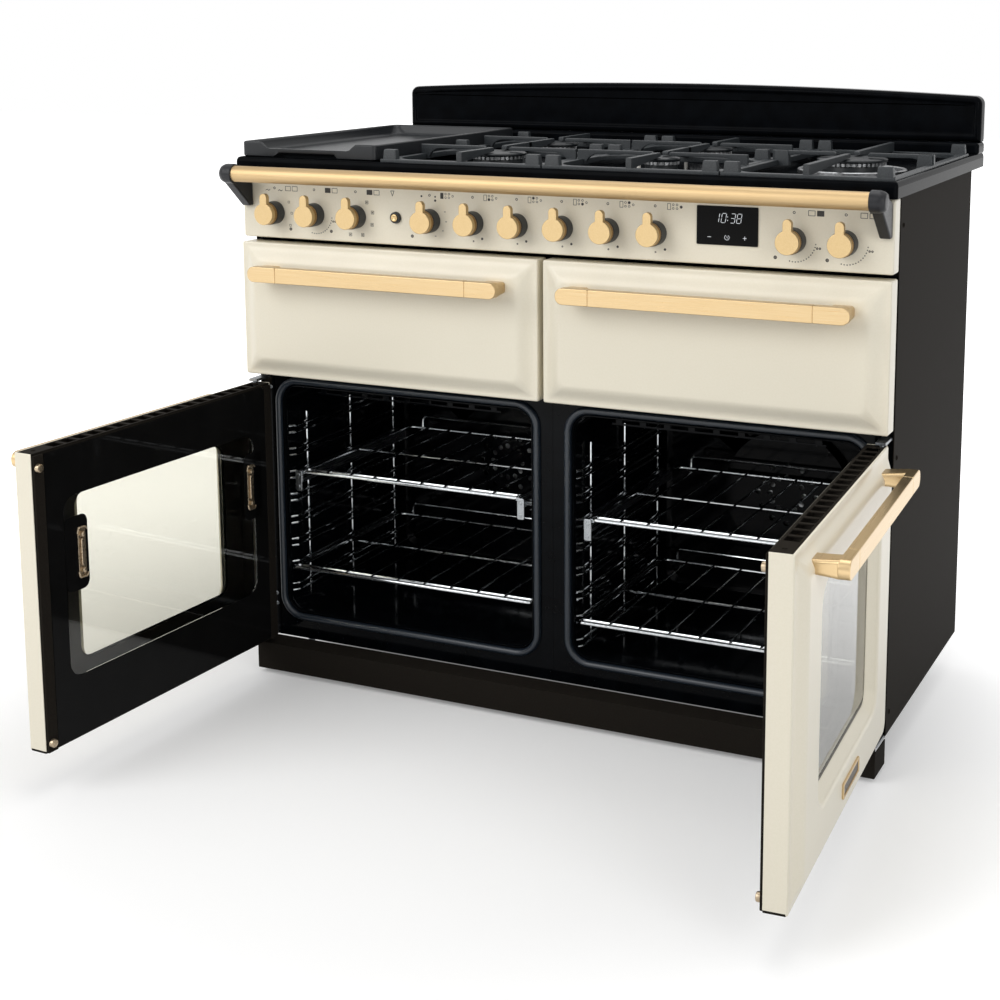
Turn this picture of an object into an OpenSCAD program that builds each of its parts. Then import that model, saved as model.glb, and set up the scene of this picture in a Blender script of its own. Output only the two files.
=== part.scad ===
/* [Body] */
// Width across the doors and side panels
body_w = 1090; // [1000:1:1200]
// Height of the hob's top rim above the floor
hob_z = 886; // [880:1:900]
// Depth from the door faces to the back of the side panels
body_d = 521; // [500:1:560]
// Depth from the door faces to the back of the hob
hob_d = 597; // [590:1:640]
// Height of the carcass base above the floor
base_z = 60; // [58:1:64]
// Plane of the enamelled front frame behind the door faces
frame_y = 44; // [44:1:50]

/* [Upper fronts] */
// Bottom edge of the grill door and of the drawer front
upper_z0 = 524; // [522:1:530]
// Top edge of the grill door and of the drawer front
upper_z1 = 746; // [740:1:750]
// Depth of a front's folded edge
front_t = 31; // [28:1:32]
// Height of the raised field in each pressed front
field_h = 12; // [6:1:14]
// Width of the soft slope round the raised field
field_slope = 32; // [20:1:40]

/* [Oven doors] */
// Bottom edge of an oven door
door_z0 = 63; // [62:1:66]
// Top edge of an oven door
door_z1 = 507; // [490:1:508]
// Opening angle of both oven doors as built
door_open = 93; // [80:1:100]
// Width of the window opening in the door skin
window_w = 344; // [300:1:360]
// Bottom of the window opening
window_z0 = 152; // [140:1:170]
// Top of the window opening
window_z1 = 438; // [420:1:440]

/* [Ovens] */
// Distance from the centre line to the middle of each oven
oven_x = 269; // [266:1:272]
// Clear width of an oven mouth
mouth_w = 468; // [464:1:470]
// Bottom of an oven mouth
mouth_z0 = 102; // [100:1:110]
// Top of an oven mouth
mouth_z1 = 500; // [490:1:502]
// Rear face of each oven liner
liner_y = 444; // [430:1:450]
// Height of the lower shelf in the left oven
left_low_z = 178; // [138:40:218]
// Height of the lower shelf in the right oven
right_low_z = 158; // [158:40:198]
// Step between two shelf positions
shelf_step = 40; // [38:1:42]

/* [Controls] */
// Bottom edge of the control panel
panel_z0 = 754; // [750:1:758]
// Height of the knob centres
knob_z = 796; // [790:1:800]
// Pitch of the knobs
knob_pitch = 76; // [74:1:78]
// Radius of a knob's front disc
knob_r = 17.5; // [16:0.5:20]
// Height of the handrail's axis
rail_z = 862; // [858:1:866]
// Radius of the handrail
rail_r = 13; // [11:1:14]

/* [Handles] */
// Length of each door handle
handle_l = 450; // [400:1:460]
// Height of a handle bar
handle_h = 25; // [20:1:28]
// Reach of a handle in front of the door border
handle_reach = 54; // [48:1:60]

/* [Hob] */
// Width of the hob tray
hob_w = 1100; // [1092:1:1110]
// Height of the pan supports' top above the floor
pan_z = 905; // [903:1:912]
// Height of the back guard's arched top at its middle
guard_z = 994; // [960:1:1000]

/* [Hidden] */
$fn = 48;

sheet = 2;
clear = 0.3;
hw = body_w / 2;
half_gap = 4.4;
panel_w = 541;
front_w = hw - half_gap;
door_mid = half_gap + front_w / 2;
hob_under = hob_z - 24;
hob_y0 = -6;
carcass_z1 = hob_under - 0.5;
cream = "#EDE6D3";
brass = "#D0AE6C";
enamel = "#0F1318";
satin = "#2B2826";
iron = "#3A3C3E";
chrome = "#C8CACB";

// Oven door hinge line, measured from the door's own outer corner
pivot_in = 10;
pivot_y = 8;
pin_r = 3.5;
pin_fit = 0.05;
door_in_y = 35;
glass_t = 4;

// Grill door hinge line
flap_y = 12;
flap_z = upper_z0 + 12;

// Oven window
window_r = 30;
pane_y = 3.5;
pane_t = 3;
clip_x = [89, 482];
clip_z = 343;
stud_x = 13.5;
stud_r = 6.4;

// Oven mouth, liner and side ladders
mouth_r = 24;
liner_half = 242;
liner_z0 = 96;
ladder_x = 228;

// Shelves
shelf_x = 226;
shelf_y0 = 50;
shelf_y1 = 408;
wire_r = 3;
thin_r = 1.8;
prong_r = 2.4;
slide_rise = 12;
left_high_z = left_low_z + 4 * shelf_step + slide_rise;
right_high_z = right_low_z + 4 * shelf_step + slide_rise;
fan_z = 300;
fan_y = 434;

// Hob
well_z = hob_z - 12;
well_r = 8;
shoulder_y = 545;
shoulder_z = hob_z + 18;
guard_y = 566;
guard_z0 = shoulder_z + 0.1;
grate_y0 = 8;
grate_y1 = 500;
grate_x = [-284, -1, 285, 544];
frame_low = hob_z - 5;
frame_top = hob_z + 4;
burner_x = [(grate_x[0] + grate_x[1]) / 2, (grate_x[1] + grate_x[2]) / 2, (grate_x[2] + grate_x[3]) / 2];
burner_y = [142, 366];
burner_r = [[44, 35], [28, 35]];
wok_r = 52;
cap_top = well_z + 23;
grate_mid = (grate_y0 + grate_y1) / 2;
griddle_x = [-545, -292];
griddle_top = hob_z + 25;
lip_drop = 9;

// Controls
panel_y = 6.6;
panel_d = 27;
bezel_r = 18.8;
bezel_y = -13;
knob_y = -28;
gas_mid = -4;
knob_x = [-483, -407, -329, gas_mid - 2.5 * knob_pitch, gas_mid - 1.5 * knob_pitch,
    gas_mid - 0.5 * knob_pitch, gas_mid + 0.5 * knob_pitch, gas_mid + 1.5 * knob_pitch,
    gas_mid + 2.5 * knob_pitch, 399, 475];
lever_t = 9;
lever_w = 13;
lever_up = 27;
shaft_r = 4;
button_x = -255;
button_z = 798;
display_x = 299;
display_z = 812;
rail_y = -45;
rail_half = 523;

// Gas and mains supply
pipe_y = 64;
pipe_z = knob_z + 16;
pipe_r = 8;
thread_r = 9.3;
gas_x = 500;
gland_r = 8;
mains_x = -430;

// Straight prism of the 2D children, which lie in X and Z, from y0 to y1
module yprism(y0, y1) {
    translate([0, y1, 0])
        rotate([90, 0, 0])
            linear_extrude(y1 - y0)
                children();
}

// Rectangle about a centre with round corners
module round_rect(w, h, r) {
    square([w - 2 * r, h], center = true);
    square([w, h - 2 * r], center = true);
    for (sx = [-1, 1], sy = [-1, 1])
        translate([sx * (w / 2 - r), sy * (h / 2 - r)])
            circle(r);
}

module rod_x(x0, x1, y, z, r) {
    translate([x0, y, z])
        rotate([0, 90, 0])
            cylinder(h = x1 - x0, r = r);
}

module rod_y(x, y0, y1, z, r) {
    translate([x, y1, z])
        rotate([90, 0, 0])
            cylinder(h = y1 - y0, r = r);
}

module rod_z(x, y, z0, z1, r) {
    translate([x, y, z0])
        cylinder(h = z1 - z0, r = r);
}

module block(x, y, z) {
    translate([x[0], y[0], z[0]])
        cube([x[1] - x[0], y[1] - y[0], z[1] - z[0]]);
}

// Turns a closed right-hand (side 1) or left-hand (side -1) oven door to its open place
module swung(side) {
    px = side * (hw - pivot_in);
    translate([px, pivot_y, 0])
        rotate([0, 0, side * door_open])
            translate([-px, -pivot_y, 0])
                if (side > 0)
                    children();
                else
                    mirror([1, 0, 0])
                        children();
}

module sided(side) {
    if (side > 0)
        children();
    else
        mirror([1, 0, 0])
            children();
}

// ---------- carcass ----------

module side_panels() {
    color(satin)
        for (s = [-1, 1])
            sided(s) {
                difference() {
                    union() {
                        block([hw - sheet, hw], [40, body_d], [base_z, carcass_z1]);
                        block([hw - 14, hw], [body_d - sheet, body_d], [base_z, carcass_z1]);
                    }
                    for (z = [base_z + 30, carcass_z1 - 40])
                        rod_x(hw - 6, hw + 1, 60, z, 2.2);
                }
            }
}

module back_and_base() {
    inner = hw - 14.5;
    color(satin) {
        difference() {
            block([-inner, inner], [body_d - sheet, body_d], [base_z, carcass_z1]);
            rod_y(mains_x, body_d - 3, body_d + 1, 700, 9);
            rod_y(gas_x, body_d - 3, body_d + 1, pipe_z, pipe_r + 1);
            for (x = [-380:40:380], z = [150, 165, 180])
                rod_y(x, body_d - 3, body_d + 1, z, 4);
        }
        block([-inner, inner], [frame_y + 4, body_d - sheet - 0.2], [base_z, base_z + sheet]);
    }
}

module oven_mouth(grow) {
    translate([oven_x, (mouth_z0 + mouth_z1) / 2])
        round_rect(mouth_w + 2 * grow, mouth_z1 - mouth_z0 + 2 * grow, mouth_r + grow);
}

module front_frame() {
    color(enamel)
        difference() {
            yprism(frame_y, frame_y + sheet)
                difference() {
                    translate([-hw + sheet + clear, base_z - 4])
                        square([body_w - 2 * (sheet + clear), carcass_z1 - base_z + 4]);
                    for (s = [-1, 1])
                        sided(s) {
                            oven_mouth(0);
                            translate([30, upper_z0 + 24])
                                square([478, upper_z1 - upper_z0 - 48]);
                        }
                    translate([-hw + 22, panel_z0 + 12])
                        square([body_w - 44, 84]);
                }
            block([-0.8, 0.8], [frame_y - 1, frame_y + 1], [0, upper_z0]);
        }
}

// Open-fronted box of sheet metal
module open_box(x, y, z, t = sheet) {
    difference() {
        block(x, y, z);
        block([x[0] + t, x[1] - t], [y[0] - 1, y[1] - t], [z[0] + t, z[1] - t]);
    }
}

module oven_cavity() {
    difference() {
        union() {
            open_box([oven_x - liner_half, oven_x + liner_half], [frame_y + sheet, liner_y],
                [liner_z0, mouth_z1 + 8]);
            // louvred strip across the front of the roof
            block([oven_x - 170, oven_x + 170], [frame_y + 4, frame_y + 10],
                [mouth_z1 - 14, mouth_z1 + 7]);
        }
        for (i = [0:7])
            block([oven_x - 156 + 40 * i, oven_x - 124 + 40 * i], [frame_y, frame_y + 12],
                [mouth_z1 - 9, mouth_z1 - 2]);
        rod_y(oven_x, liner_y - 3, liner_y + 1, fan_z, 5);
    }
}

module left_oven_cavity() {
    color(enamel)
        mirror([1, 0, 0])
            oven_cavity();
}

module right_oven_cavity() {
    color(enamel)
        oven_cavity();
}

module upper_compartments() {
    color(enamel)
        for (s = [-1, 1])
            sided(s)
                open_box([22, 516], [frame_y + sheet, 440], [upper_z0 + 6, upper_z1 - 6]);
    // fixed rails of the drawer in the right compartment
    color(chrome)
        for (x = [24, 508.5])
            block([x, x + 5.5], [50, 420], [upper_z0 + 48, upper_z0 + 68]);
    // grill element and pan in the left compartment
    color(iron) {
        for (i = [0:3]) {
            rod_x(-460, -84, 110 + 70 * i, 716, 4);
            if (i < 3)
                rod_y(i % 2 == 0 ? -84 : -460, 110 + 70 * i, 180 + 70 * i, 716, 4);
        }
        for (x = [-460, -84])
            rod_z(x, 110, 716, upper_z1 - 7.5, 3);
        difference() {
            block([-470, -70], [70, 410], [upper_z0 + 8.2, upper_z0 + 48]);
            block([-466, -74], [74, 406], [upper_z0 + 10.2, upper_z0 + 50]);
        }
        for (i = [0:9])
            rod_y(-450 + 40 * i, 70.5, 409.5, upper_z0 + 48, 2.5);
    }
}

module oven_seals() {
    color("#16202A")
        for (s = [-1, 1])
            sided(s)
                yprism(door_in_y + 0.8, frame_y)
                    difference() {
                        oven_mouth(14);
                        oven_mouth(2);
                    }
}

// Two side ladders that carry the shelves of one oven
module ladder_pair(low_z) {
    for (s = [-1, 1]) {
        for (y = [110, 250, 400])
            rod_z(oven_x + s * (ladder_x + 4.4), y, liner_z0 + 14, 440, prong_r);
        for (z = [low_z - shelf_step:shelf_step:low_z + 6 * shelf_step], d = [-5.8, 5.8])
            rod_y(oven_x + s * ladder_x, 62, 410, z + d, prong_r);
    }
}

// Fixed half of one oven's telescopic runners
module fixed_runners(high_z) {
    for (s = [-1, 1])
        translate([oven_x, 0, 0])
            sided(s)
                difference() {
                    block([218, 225.3], [64, 400], [high_z - 22, high_z - 4]);
                    block([217, 222], [63, 401], [high_z - 19, high_z - 7]);
                }
}

module shelf_ladders() {
    color(chrome) {
        ladder_pair(right_low_z);
        fixed_runners(right_high_z);
        mirror([1, 0, 0]) {
            ladder_pair(left_low_z);
            fixed_runners(left_high_z);
        }
    }
}

module fan_cover() {
    difference() {
        translate([oven_x, liner_y - sheet - 0.1, fan_z])
            rotate([90, 0, 0])
                cylinder(h = 24, r1 = 118, r2 = 112);
        translate([oven_x, liner_y, fan_z])
            rotate([90, 0, 0])
                cylinder(h = 24, r = 104);
        for (a = [0:30:330], r = [30, 52])
            translate([oven_x + r * cos(a), liner_y, fan_z + r * sin(a)])
                rotate([90, 0, 0])
                    cylinder(h = 40, r = 5);
    }
    // motor behind the liner
    difference() {
        rod_y(oven_x, liner_y + 0.1, liner_y + 40, fan_z, 34);
        rod_y(oven_x, liner_y - 1, liner_y + 20, fan_z, 5);
    }
}

module fan_covers() {
    color(enamel)
        for (s = [-1, 1])
            sided(s)
                fan_cover();
}

module oven_fan() {
    rod_y(oven_x, fan_y - 8, liner_y + 16, fan_z, shaft_r);
    rod_y(oven_x, fan_y - 6, fan_y + 5, fan_z, 13);
    rod_y(oven_x, fan_y + 3, fan_y + 5, fan_z, 60);
    for (a = [0:36:324])
        translate([oven_x, 0, fan_z])
            rotate([0, a, 0])
                block([12, 76], [fan_y - 6, fan_y + 4], [-1, 1]);
}

module left_oven_fan() {
    color(chrome)
        mirror([1, 0, 0])
            oven_fan();
}

module right_oven_fan() {
    color(chrome)
        oven_fan();
}

// ---------- hob ----------

module hob_tray() {
    color(enamel)
        difference() {
            union() {
                translate([0, (hob_y0 + hob_d) / 2, hob_under])
                    linear_extrude(hob_z - hob_under)
                        round_rect(hob_w, hob_d - hob_y0, 6);
                translate([0, (shoulder_y + hob_d) / 2, hob_z - 2])
                    linear_extrude(shoulder_z - hob_z + 2)
                        round_rect(hob_w, hob_d - shoulder_y, 6);
            }
            // pressed well with a round-cornered outline
            translate([0, (grate_y0 + shoulder_y - 14) / 2, well_z])
                linear_extrude(60)
                    round_rect(hob_w - 10, shoulder_y - 14 - grate_y0 + 8, well_r);
            // hollow underside
            block([-hob_w / 2 + 3, hob_w / 2 - 3], [hob_y0 + 3, hob_d - 3], [hob_under - 1, well_z - sheet]);
            block([-hob_w / 2 + 3, hob_w / 2 - 3], [shoulder_y + 3, hob_d - 3],
                [hob_under - 1, shoulder_z - sheet]);
            for (x = [0, 1], y = burner_y)
                rod_z(burner_x[x], y, well_z - 5, well_z + 1, 14);
            rod_z(burner_x[2], grate_mid, well_z - 5, well_z + 1, 14);
        }
}

// Outline of the back guard: upright ends, round corners and a gently arched top
module guard_outline(inset) {
    half = hob_w / 2 - 2 - inset;
    end_z = guard_z - 14;
    rise = guard_z - end_z;
    arc_r = (half * half + rise * rise) / (2 * rise);
    corner = 14;
    intersection() {
        translate([0, guard_z - inset - arc_r])
            circle(arc_r, $fn = 720);
        union() {
            translate([-half, guard_z0 + inset])
                square([2 * half, end_z - corner - guard_z0 - inset]);
            translate([-half + corner, guard_z0 + inset])
                square([2 * (half - corner), guard_z - guard_z0 - inset]);
            for (s = [-1, 1])
                translate([s * (half - corner), end_z - corner])
                    circle(corner);
        }
    }
}

module back_guard() {
    color(enamel)
        difference() {
            yprism(guard_y, hob_d - 1)
                guard_outline(0);
            yprism(guard_y + sheet, hob_d)
                guard_outline(sheet);
        }
}

// One burner: body with flame ports, cap and spark electrode
module burner(x, y, r) {
    difference() {
        union() {
            rod_z(x, y, well_z + 0.1, well_z + 9, r * 0.92);
            rod_z(x, y, well_z + 9, well_z + 17, r * 0.8);
        }
        rod_z(x, y, well_z - 1, well_z + 18, r * 0.45);
        for (a = [0:15:345])
            translate([x, y, well_z + 12])
                rotate([0, 0, a])
                    block([r * 0.6, r], [-1, 1], [0, 5.5]);
    }
    rod_z(x, y, well_z + 17.1, cap_top, r);
    rod_z(x - 0.75 * (r + 8), y - 0.75 * (r + 8), well_z + 0.1, well_z + 18, 3);
}

module burners() {
    color(iron) {
        for (i = [0, 1], j = [0, 1])
            burner(burner_x[i], burner_y[j], burner_r[i][j]);
        burner(burner_x[2], grate_mid, wok_r);
        // steel spreader ring round the largest burner
        difference() {
            rod_z(burner_x[2], grate_mid, well_z + 0.1, frame_low - 0.5, 84);
            rod_z(burner_x[2], grate_mid, well_z - 1, well_z + 9, 78);
        }
        // long burner under the griddle
        rod_y((griddle_x[0] + griddle_x[1]) / 2, 60, 440, well_z + 5, 4.5);
    }
}

module griddle_plate() {
    x0 = griddle_x[0];
    x1 = griddle_x[1];
    color(iron)
        difference() {
            union() {
                block([x0 + 10, x1], [grate_y0 + 8, grate_y1], [well_z + 0.1, hob_z + 4]);
                block([x0, x1], [grate_y0, grate_y1], [hob_z + 0.4, griddle_top]);
            }
            block([x0 + 6, x1 - 6], [grate_y0 + 6, grate_y1 - 6], [hob_z + 6, griddle_top + 1]);
            block([x0 + 16, x1 - 6], [grate_y0 + 14, grate_y1 - 6], [well_z - 1, hob_z - 2]);
            // lowered pouring lip between the two front upstands
            block([x0 + 42, x1 - 44], [grate_y0 - 1, grate_y0 + 8],
                [griddle_top - lip_drop, griddle_top + 1]);
        }
}

// One finger along +X from the frame at x = root to near the middle of a burner of radius r
module finger(root, r) {
    deep = r + 7;
    block([deep, root], [-4, 4], [frame_low, pan_z]);
    block([r * 0.5, deep + 1], [-4, 4], [cap_top + 1.5, pan_z]);
    block([root - 20, root], [-9, 9], [frame_low, pan_z]);
}

// Cast frame with four corner feet and, over each burner, four fingers that point at its middle
module pan_support(x0, x1, ys, radii) {
    bar = 11;
    mid = (x0 + x1) / 2;
    cell = (grate_y1 - grate_y0) / len(ys);
    difference() {
        block([x0 + 1, x1 - 1], [grate_y0, grate_y1], [frame_low, frame_top]);
        block([x0 + 1 + bar, x1 - 1 - bar], [grate_y0 + bar, grate_y1 - bar], [frame_low - 1, frame_top + 1]);
    }
    for (i = [1:1:len(ys) - 1])
        block([x0 + 2, x1 - 2], [grate_y0 + i * cell - bar / 2, grate_y0 + i * cell + bar / 2],
            [frame_low, frame_top]);
    for (x = [x0 + 7, x1 - 7], y = [grate_y0 + 14, grate_y1 - 14])
        rod_z(x, y, well_z + 0.1, frame_low + 1, 5);
    for (x = [x0 + 1, x1 - 19], y = [grate_y0 + 34, grate_y1 - 54])
        block([x, x + 18], [y, y + 20], [frame_low, pan_z]);
    for (i = [0:len(ys) - 1])
        translate([mid, ys[i], 0]) {
            finger((x1 - x0) / 2 - 1, radii[i]);
            mirror([1, 0, 0])
                finger((x1 - x0) / 2 - 1, radii[i]);
            rotate([0, 0, 90])
                finger(grate_y0 + (i + 1) * cell - ys[i] - 1, radii[i]);
            rotate([0, 0, -90])
                finger(ys[i] - grate_y0 - i * cell - 1, radii[i]);
        }
}

module left_pan_support() {
    color(iron)
        pan_support(grate_x[0], grate_x[1], burner_y, burner_r[0]);
}

module centre_pan_support() {
    color(iron)
        pan_support(grate_x[1], grate_x[2], burner_y, burner_r[1]);
}

module right_pan_support() {
    color(iron)
        pan_support(grate_x[2], grate_x[3], [grate_mid], [wok_r]);
}

// ---------- controls ----------

module control_panel() {
    top = hob_under - 1;
    color(cream)
        difference() {
            block([-hw, hw], [panel_y, panel_y + panel_d], [panel_z0, top]);
            block([-hw + sheet, hw - sheet], [panel_y + sheet, panel_y + panel_d + 1],
                [panel_z0 + sheet, top - sheet]);
            for (x = knob_x)
                rod_y(x, panel_y - 1, panel_y + 4, knob_z, shaft_r + 1);
            rod_y(button_x, panel_y - 1, panel_y + 4, button_z, 6.5);
            block([display_x - 44, display_x + 44], [panel_y - 1, panel_y + 4],
                [display_z - 26, display_z + 26]);
        }
}

module display_panel() {
    color("#07090B")
        yprism(panel_y - 2, panel_y - 0.1)
            translate([display_x, display_z])
                round_rect(94, 57, 1.5);
}

module knob_bezels() {
    color(satin)
        for (x = knob_x)
            difference() {
                rod_y(x, bezel_y, panel_y - 0.1, knob_z, bezel_r);
                rod_y(x, bezel_y - 1, panel_y + 1, knob_z, shaft_r + 1);
            }
    color(brass)
        difference() {
            rod_y(button_x, panel_y - 5, panel_y - 0.1, button_z, 8.5);
            rod_y(button_x, panel_y - 6, panel_y + 1, button_z, 6.5);
        }
}

module light_button() {
    color(iron)
        rod_y(button_x, panel_y - 8, panel_y + 12, button_z, 6);
}

// Lever knob: disc and upward paddle in front of a ring, on a round shaft
module lever_knob(i) {
    color(brass)
        translate([knob_x[i], 0, knob_z]) {
            yprism(knob_y, knob_y + lever_t)
                union() {
                    circle(knob_r);
                    translate([-lever_w / 2, 0])
                        square([lever_w, lever_up]);
                    translate([0, lever_up])
                        circle(lever_w / 2);
                }
            rod_y(0, knob_y + lever_t, bezel_y - clear, 0, bezel_r - 0.8);
            rod_y(0, bezel_y - 1, panel_y + 12, 0, shaft_r);
        }
}

module left_selector_knob() lever_knob(0);

module left_thermostat_knob() lever_knob(1);

module grill_knob() lever_knob(2);

module gas_knob_1() lever_knob(3);

module gas_knob_2() lever_knob(4);

module gas_knob_3() lever_knob(5);

module gas_knob_4() lever_knob(6);

module gas_knob_5() lever_knob(7);

module gas_knob_6() lever_knob(8);

module right_selector_knob() lever_knob(9);

module right_thermostat_knob() lever_knob(10);

module handrail() {
    color(brass)
        rod_x(-rail_half, rail_half, rail_y, rail_z, rail_r);
}

// Round head that holds the rail's end, with a leg that tapers to the control panel
module handrail_brackets() {
    color(satin)
        for (s = [-1, 1])
            sided(s) {
                rod_x(rail_half + 0.1, hw + 2, rail_y, rail_z, rail_r + 3);
                translate([rail_half + 0.1, 0, 0])
                    rotate([90, 0, 90])
                        linear_extrude(20)
                            polygon([[rail_y - 12, rail_z - 8], [rail_y + 12, rail_z + 10],
                                [panel_y - 0.1, rail_z - 8], [panel_y - 0.1, rail_z - 56],
                                [panel_y - 8, rail_z - 56]]);
            }
}

// ---------- feet and plinth ----------

module plinth() {
    half = hw - 5;
    z0 = 8;
    z1 = base_z - 5;
    color(satin) {
        block([-half, half], [0, sheet], [z0, z1]);
        block([-half, half], [0, 26], [z0, z0 + sheet]);
        block([-half, half], [0, frame_y], [z1 - sheet, z1]);
        for (s = [-1, 1])
            sided(s)
                block([half - sheet, half], [0, 60], [z0, z1 - 8]);
    }
}

module feet_and_brackets() {
    color(iron)
        for (s = [-1, 1])
            sided(s) {
                rod_z(490, 90, 0, 10, 18);
                rod_z(490, 90, 9, base_z - 0.1, 6);
                // fork that holds the rear roller
                for (x = [486, 504])
                    difference() {
                        block([x, x + 3], [452, 488], [8, base_z - 0.1]);
                        rod_x(x - 1, x + 4, 470, 18, 4.05);
                    }
                block([486, 507], [452, 488], [base_z - 4, base_z - 0.1]);
            }
}

module rear_rollers() {
    color(iron)
        for (s = [-1, 1])
            sided(s) {
                rod_x(490, 503, 470, 18, 18);
                rod_x(484, 509, 470, 18, 4);
            }
}

// Fixed hinge arms and pins of the oven doors and of the grill door
module hinge_brackets() {
    px = hw - pivot_in;
    color(iron) {
        for (s = [-1, 1])
            sided(s) {
                block([px - 8, hw - 3], [pivot_y - 6, frame_y - 0.1], [door_z0 - 7, door_z0 - 3]);
                rod_z(px, pivot_y, door_z0 - 5, door_z0 + 10, pin_r);
                block([px - 8, hw - 3], [pivot_y - 6, frame_y - 0.1], [door_z1 + 3, door_z1 + 7]);
                rod_z(px, pivot_y, door_z1 - 12, door_z1 + 5, pin_r);
            }
        for (s = [-1, 1])
            translate([-door_mid, 0, 0])
                sided(s) {
                    arm = front_w / 2 - 9;
                    block([arm, arm + 4], [flap_y - 5, frame_y - 0.1], [flap_z - 5, flap_z + 5]);
                    rod_x(arm - 10, arm + 1, flap_y, flap_z, pin_r);
                }
    }
}

module gas_and_mains_inlets() {
    color(brass) {
        rod_x(knob_x[3] - 20, gas_x, pipe_y, pipe_z, pipe_r);
        for (i = [3:8])
            rod_y(knob_x[i], panel_y + 14, pipe_y, knob_z, 9);
        rod_y(gas_x, pipe_y, body_d + 12, pipe_z, pipe_r);
        translate([gas_x, pipe_y, pipe_z])
            sphere(pipe_r);
        // elbow with a female thread that points down
        difference() {
            union() {
                rod_z(gas_x, body_d + 16, 700, pipe_z + 10, 14);
                rod_y(gas_x, body_d + 2, body_d + 16, pipe_z, 10);
            }
            rod_z(gas_x, body_d + 16, 699, 718, thread_r);
        }
    }
    // terminal box with its cable gland
    color(satin)
        difference() {
            union() {
                block([mains_x - 60, mains_x + 60], [body_d + 0.1, body_d + 34], [640, 740]);
                rod_z(mains_x, body_d + 17, 622, 641, gland_r + 5);
            }
            block([mains_x - 56, mains_x + 56], [body_d + 3, body_d + 30], [644, 736]);
            rod_z(mains_x, body_d + 17, 621, 645, gland_r);
        }
}

// ---------- pressed fronts ----------

// Solid form of a pressed front: folded border and raised field, moved back by t for its inside
module pressed_form(z0, z1, t) {
    h = z1 - z0;
    translate([door_mid, 0, (z0 + z1) / 2]) {
        yprism(t, front_t + (t > 0 ? 1 : 0))
            round_rect(front_w - 2 * t, h - 2 * t, 3);
        hull() {
            yprism(t, t + 0.5)
                round_rect(front_w - 2 * t - 6, h - 2 * t - 6, 4);
            yprism(t - field_h, t - field_h + 0.5)
                round_rect(front_w - 2 * field_slope, h - 2 * field_slope, 16);
        }
    }
}

module pressed_front(z0, z1) {
    difference() {
        pressed_form(z0, z1, 0);
        pressed_form(z0, z1, sheet);
    }
}

module bar_handle(z, z0, z1) {
    half = handle_l / 2;
    end = handle_h / 2;
    post_w = 26;
    translate([door_mid, 0, z]) {
        difference() {
            yprism(-handle_reach, -handle_reach + 15)
                union() {
                    square([handle_l - handle_h, handle_h], center = true);
                    for (s = [-1, 1])
                        translate([s * (half - end), 0])
                            circle(end);
                }
            // fine joints between the bar and its two end pieces
            for (s = [-1, 1])
                translate([s * (half - 53), 0, 0])
                    difference() {
                        block([-0.4, 0.4], [-handle_reach - 1, -handle_reach + 16], [-end - 1, end + 1]);
                        block([-1, 1], [-handle_reach + 0.5, -handle_reach + 14.5],
                            [-end + 0.5, end - 0.5]);
                    }
        }
    }
    // wedge posts, cut to the shape of the pressed face
    difference() {
        for (s = [-1, 1])
            translate([door_mid, 0, z])
                sided(s)
                    translate([half - 4, 0, 0])
                        linear_extrude(handle_h - 7, center = true)
                            polygon([[0, -handle_reach + 14], [3, 0], [-post_w - 12, 0],
                                [-post_w, -handle_reach + 14]]);
        translate([0, -0.1, 0])
            pressed_form(z0, z1, 0);
    }
}

module window_funnel(grow) {
    translate([door_mid, 0, (window_z0 + window_z1) / 2])
        hull() {
            yprism(-field_h - (grow > 0 ? 0 : 0.5), -field_h + 0.4)
                round_rect(window_w + 2 * grow, window_z1 - window_z0 + 2 * grow, window_r);
            yprism(pane_y - 1, pane_y - (grow > 0 ? 0.2 : -0.2))
                round_rect(window_w - 24 + 2 * grow, window_z1 - window_z0 - 24 + 2 * grow, window_r - 8);
        }
}

module door_skin() {
    difference() {
        union() {
            difference() {
                pressed_form(door_z0, door_z1, 0);
                pressed_form(door_z0, door_z1, sheet);
                // open top and bottom, where the black door frame shows
                block([half_gap + sheet, hw - sheet], [sheet + 1, front_t + 1],
                    [door_z0 - 1, door_z1 + 1]);
            }
            window_funnel(sheet);
        }
        window_funnel(0);
    }
}

module door_panes() {
    yprism(front_t + 0.1, door_in_y)
        translate([door_mid, (door_z0 + door_z1) / 2])
            round_rect(front_w - 6, door_z1 - door_z0 - 8, 4);
    yprism(pane_y, pane_y + pane_t)
        translate([door_mid, (window_z0 + window_z1) / 2])
            round_rect(window_w, window_z1 - window_z0, window_r);
}

// Black frame inside the skin: slotted vent cap on top, bottom bar and two side bars
module door_frame() {
    x0 = half_gap + sheet + 0.2;
    x1 = hw - sheet - 0.2;
    px = hw - pivot_in;
    y0 = sheet + 1.2;
    difference() {
        union() {
            block([x0, x1], [y0, front_t], [door_z1 - 17, door_z1]);
            block([x0, x1], [y0, front_t], [door_z0, door_z0 + 12]);
            block([x0, x0 + 6], [y0 + 12, front_t], [door_z0, door_z1]);
            block([x1 - 6, x1], [y0 + 12, front_t], [door_z0, door_z1]);
        }
        // channel under the cap, left solid round the hinge pin
        block([x0 + 30, px - 14], [y0 + 2, front_t - 2], [door_z1 - 20, door_z1 - 3]);
        for (i = [0:17])
            translate([54 + 26.6 * i, 0, 0])
                block([0, 20], [y0 + 4, front_t - 4], [door_z1 - 5, door_z1 + 1]);
        rod_z(px, pivot_y, door_z0 - 1, door_z0 + 13, pin_r + pin_fit);
        rod_z(px, pivot_y, door_z1 - 18, door_z1 + 1, pin_r + pin_fit);
    }
}

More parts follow.
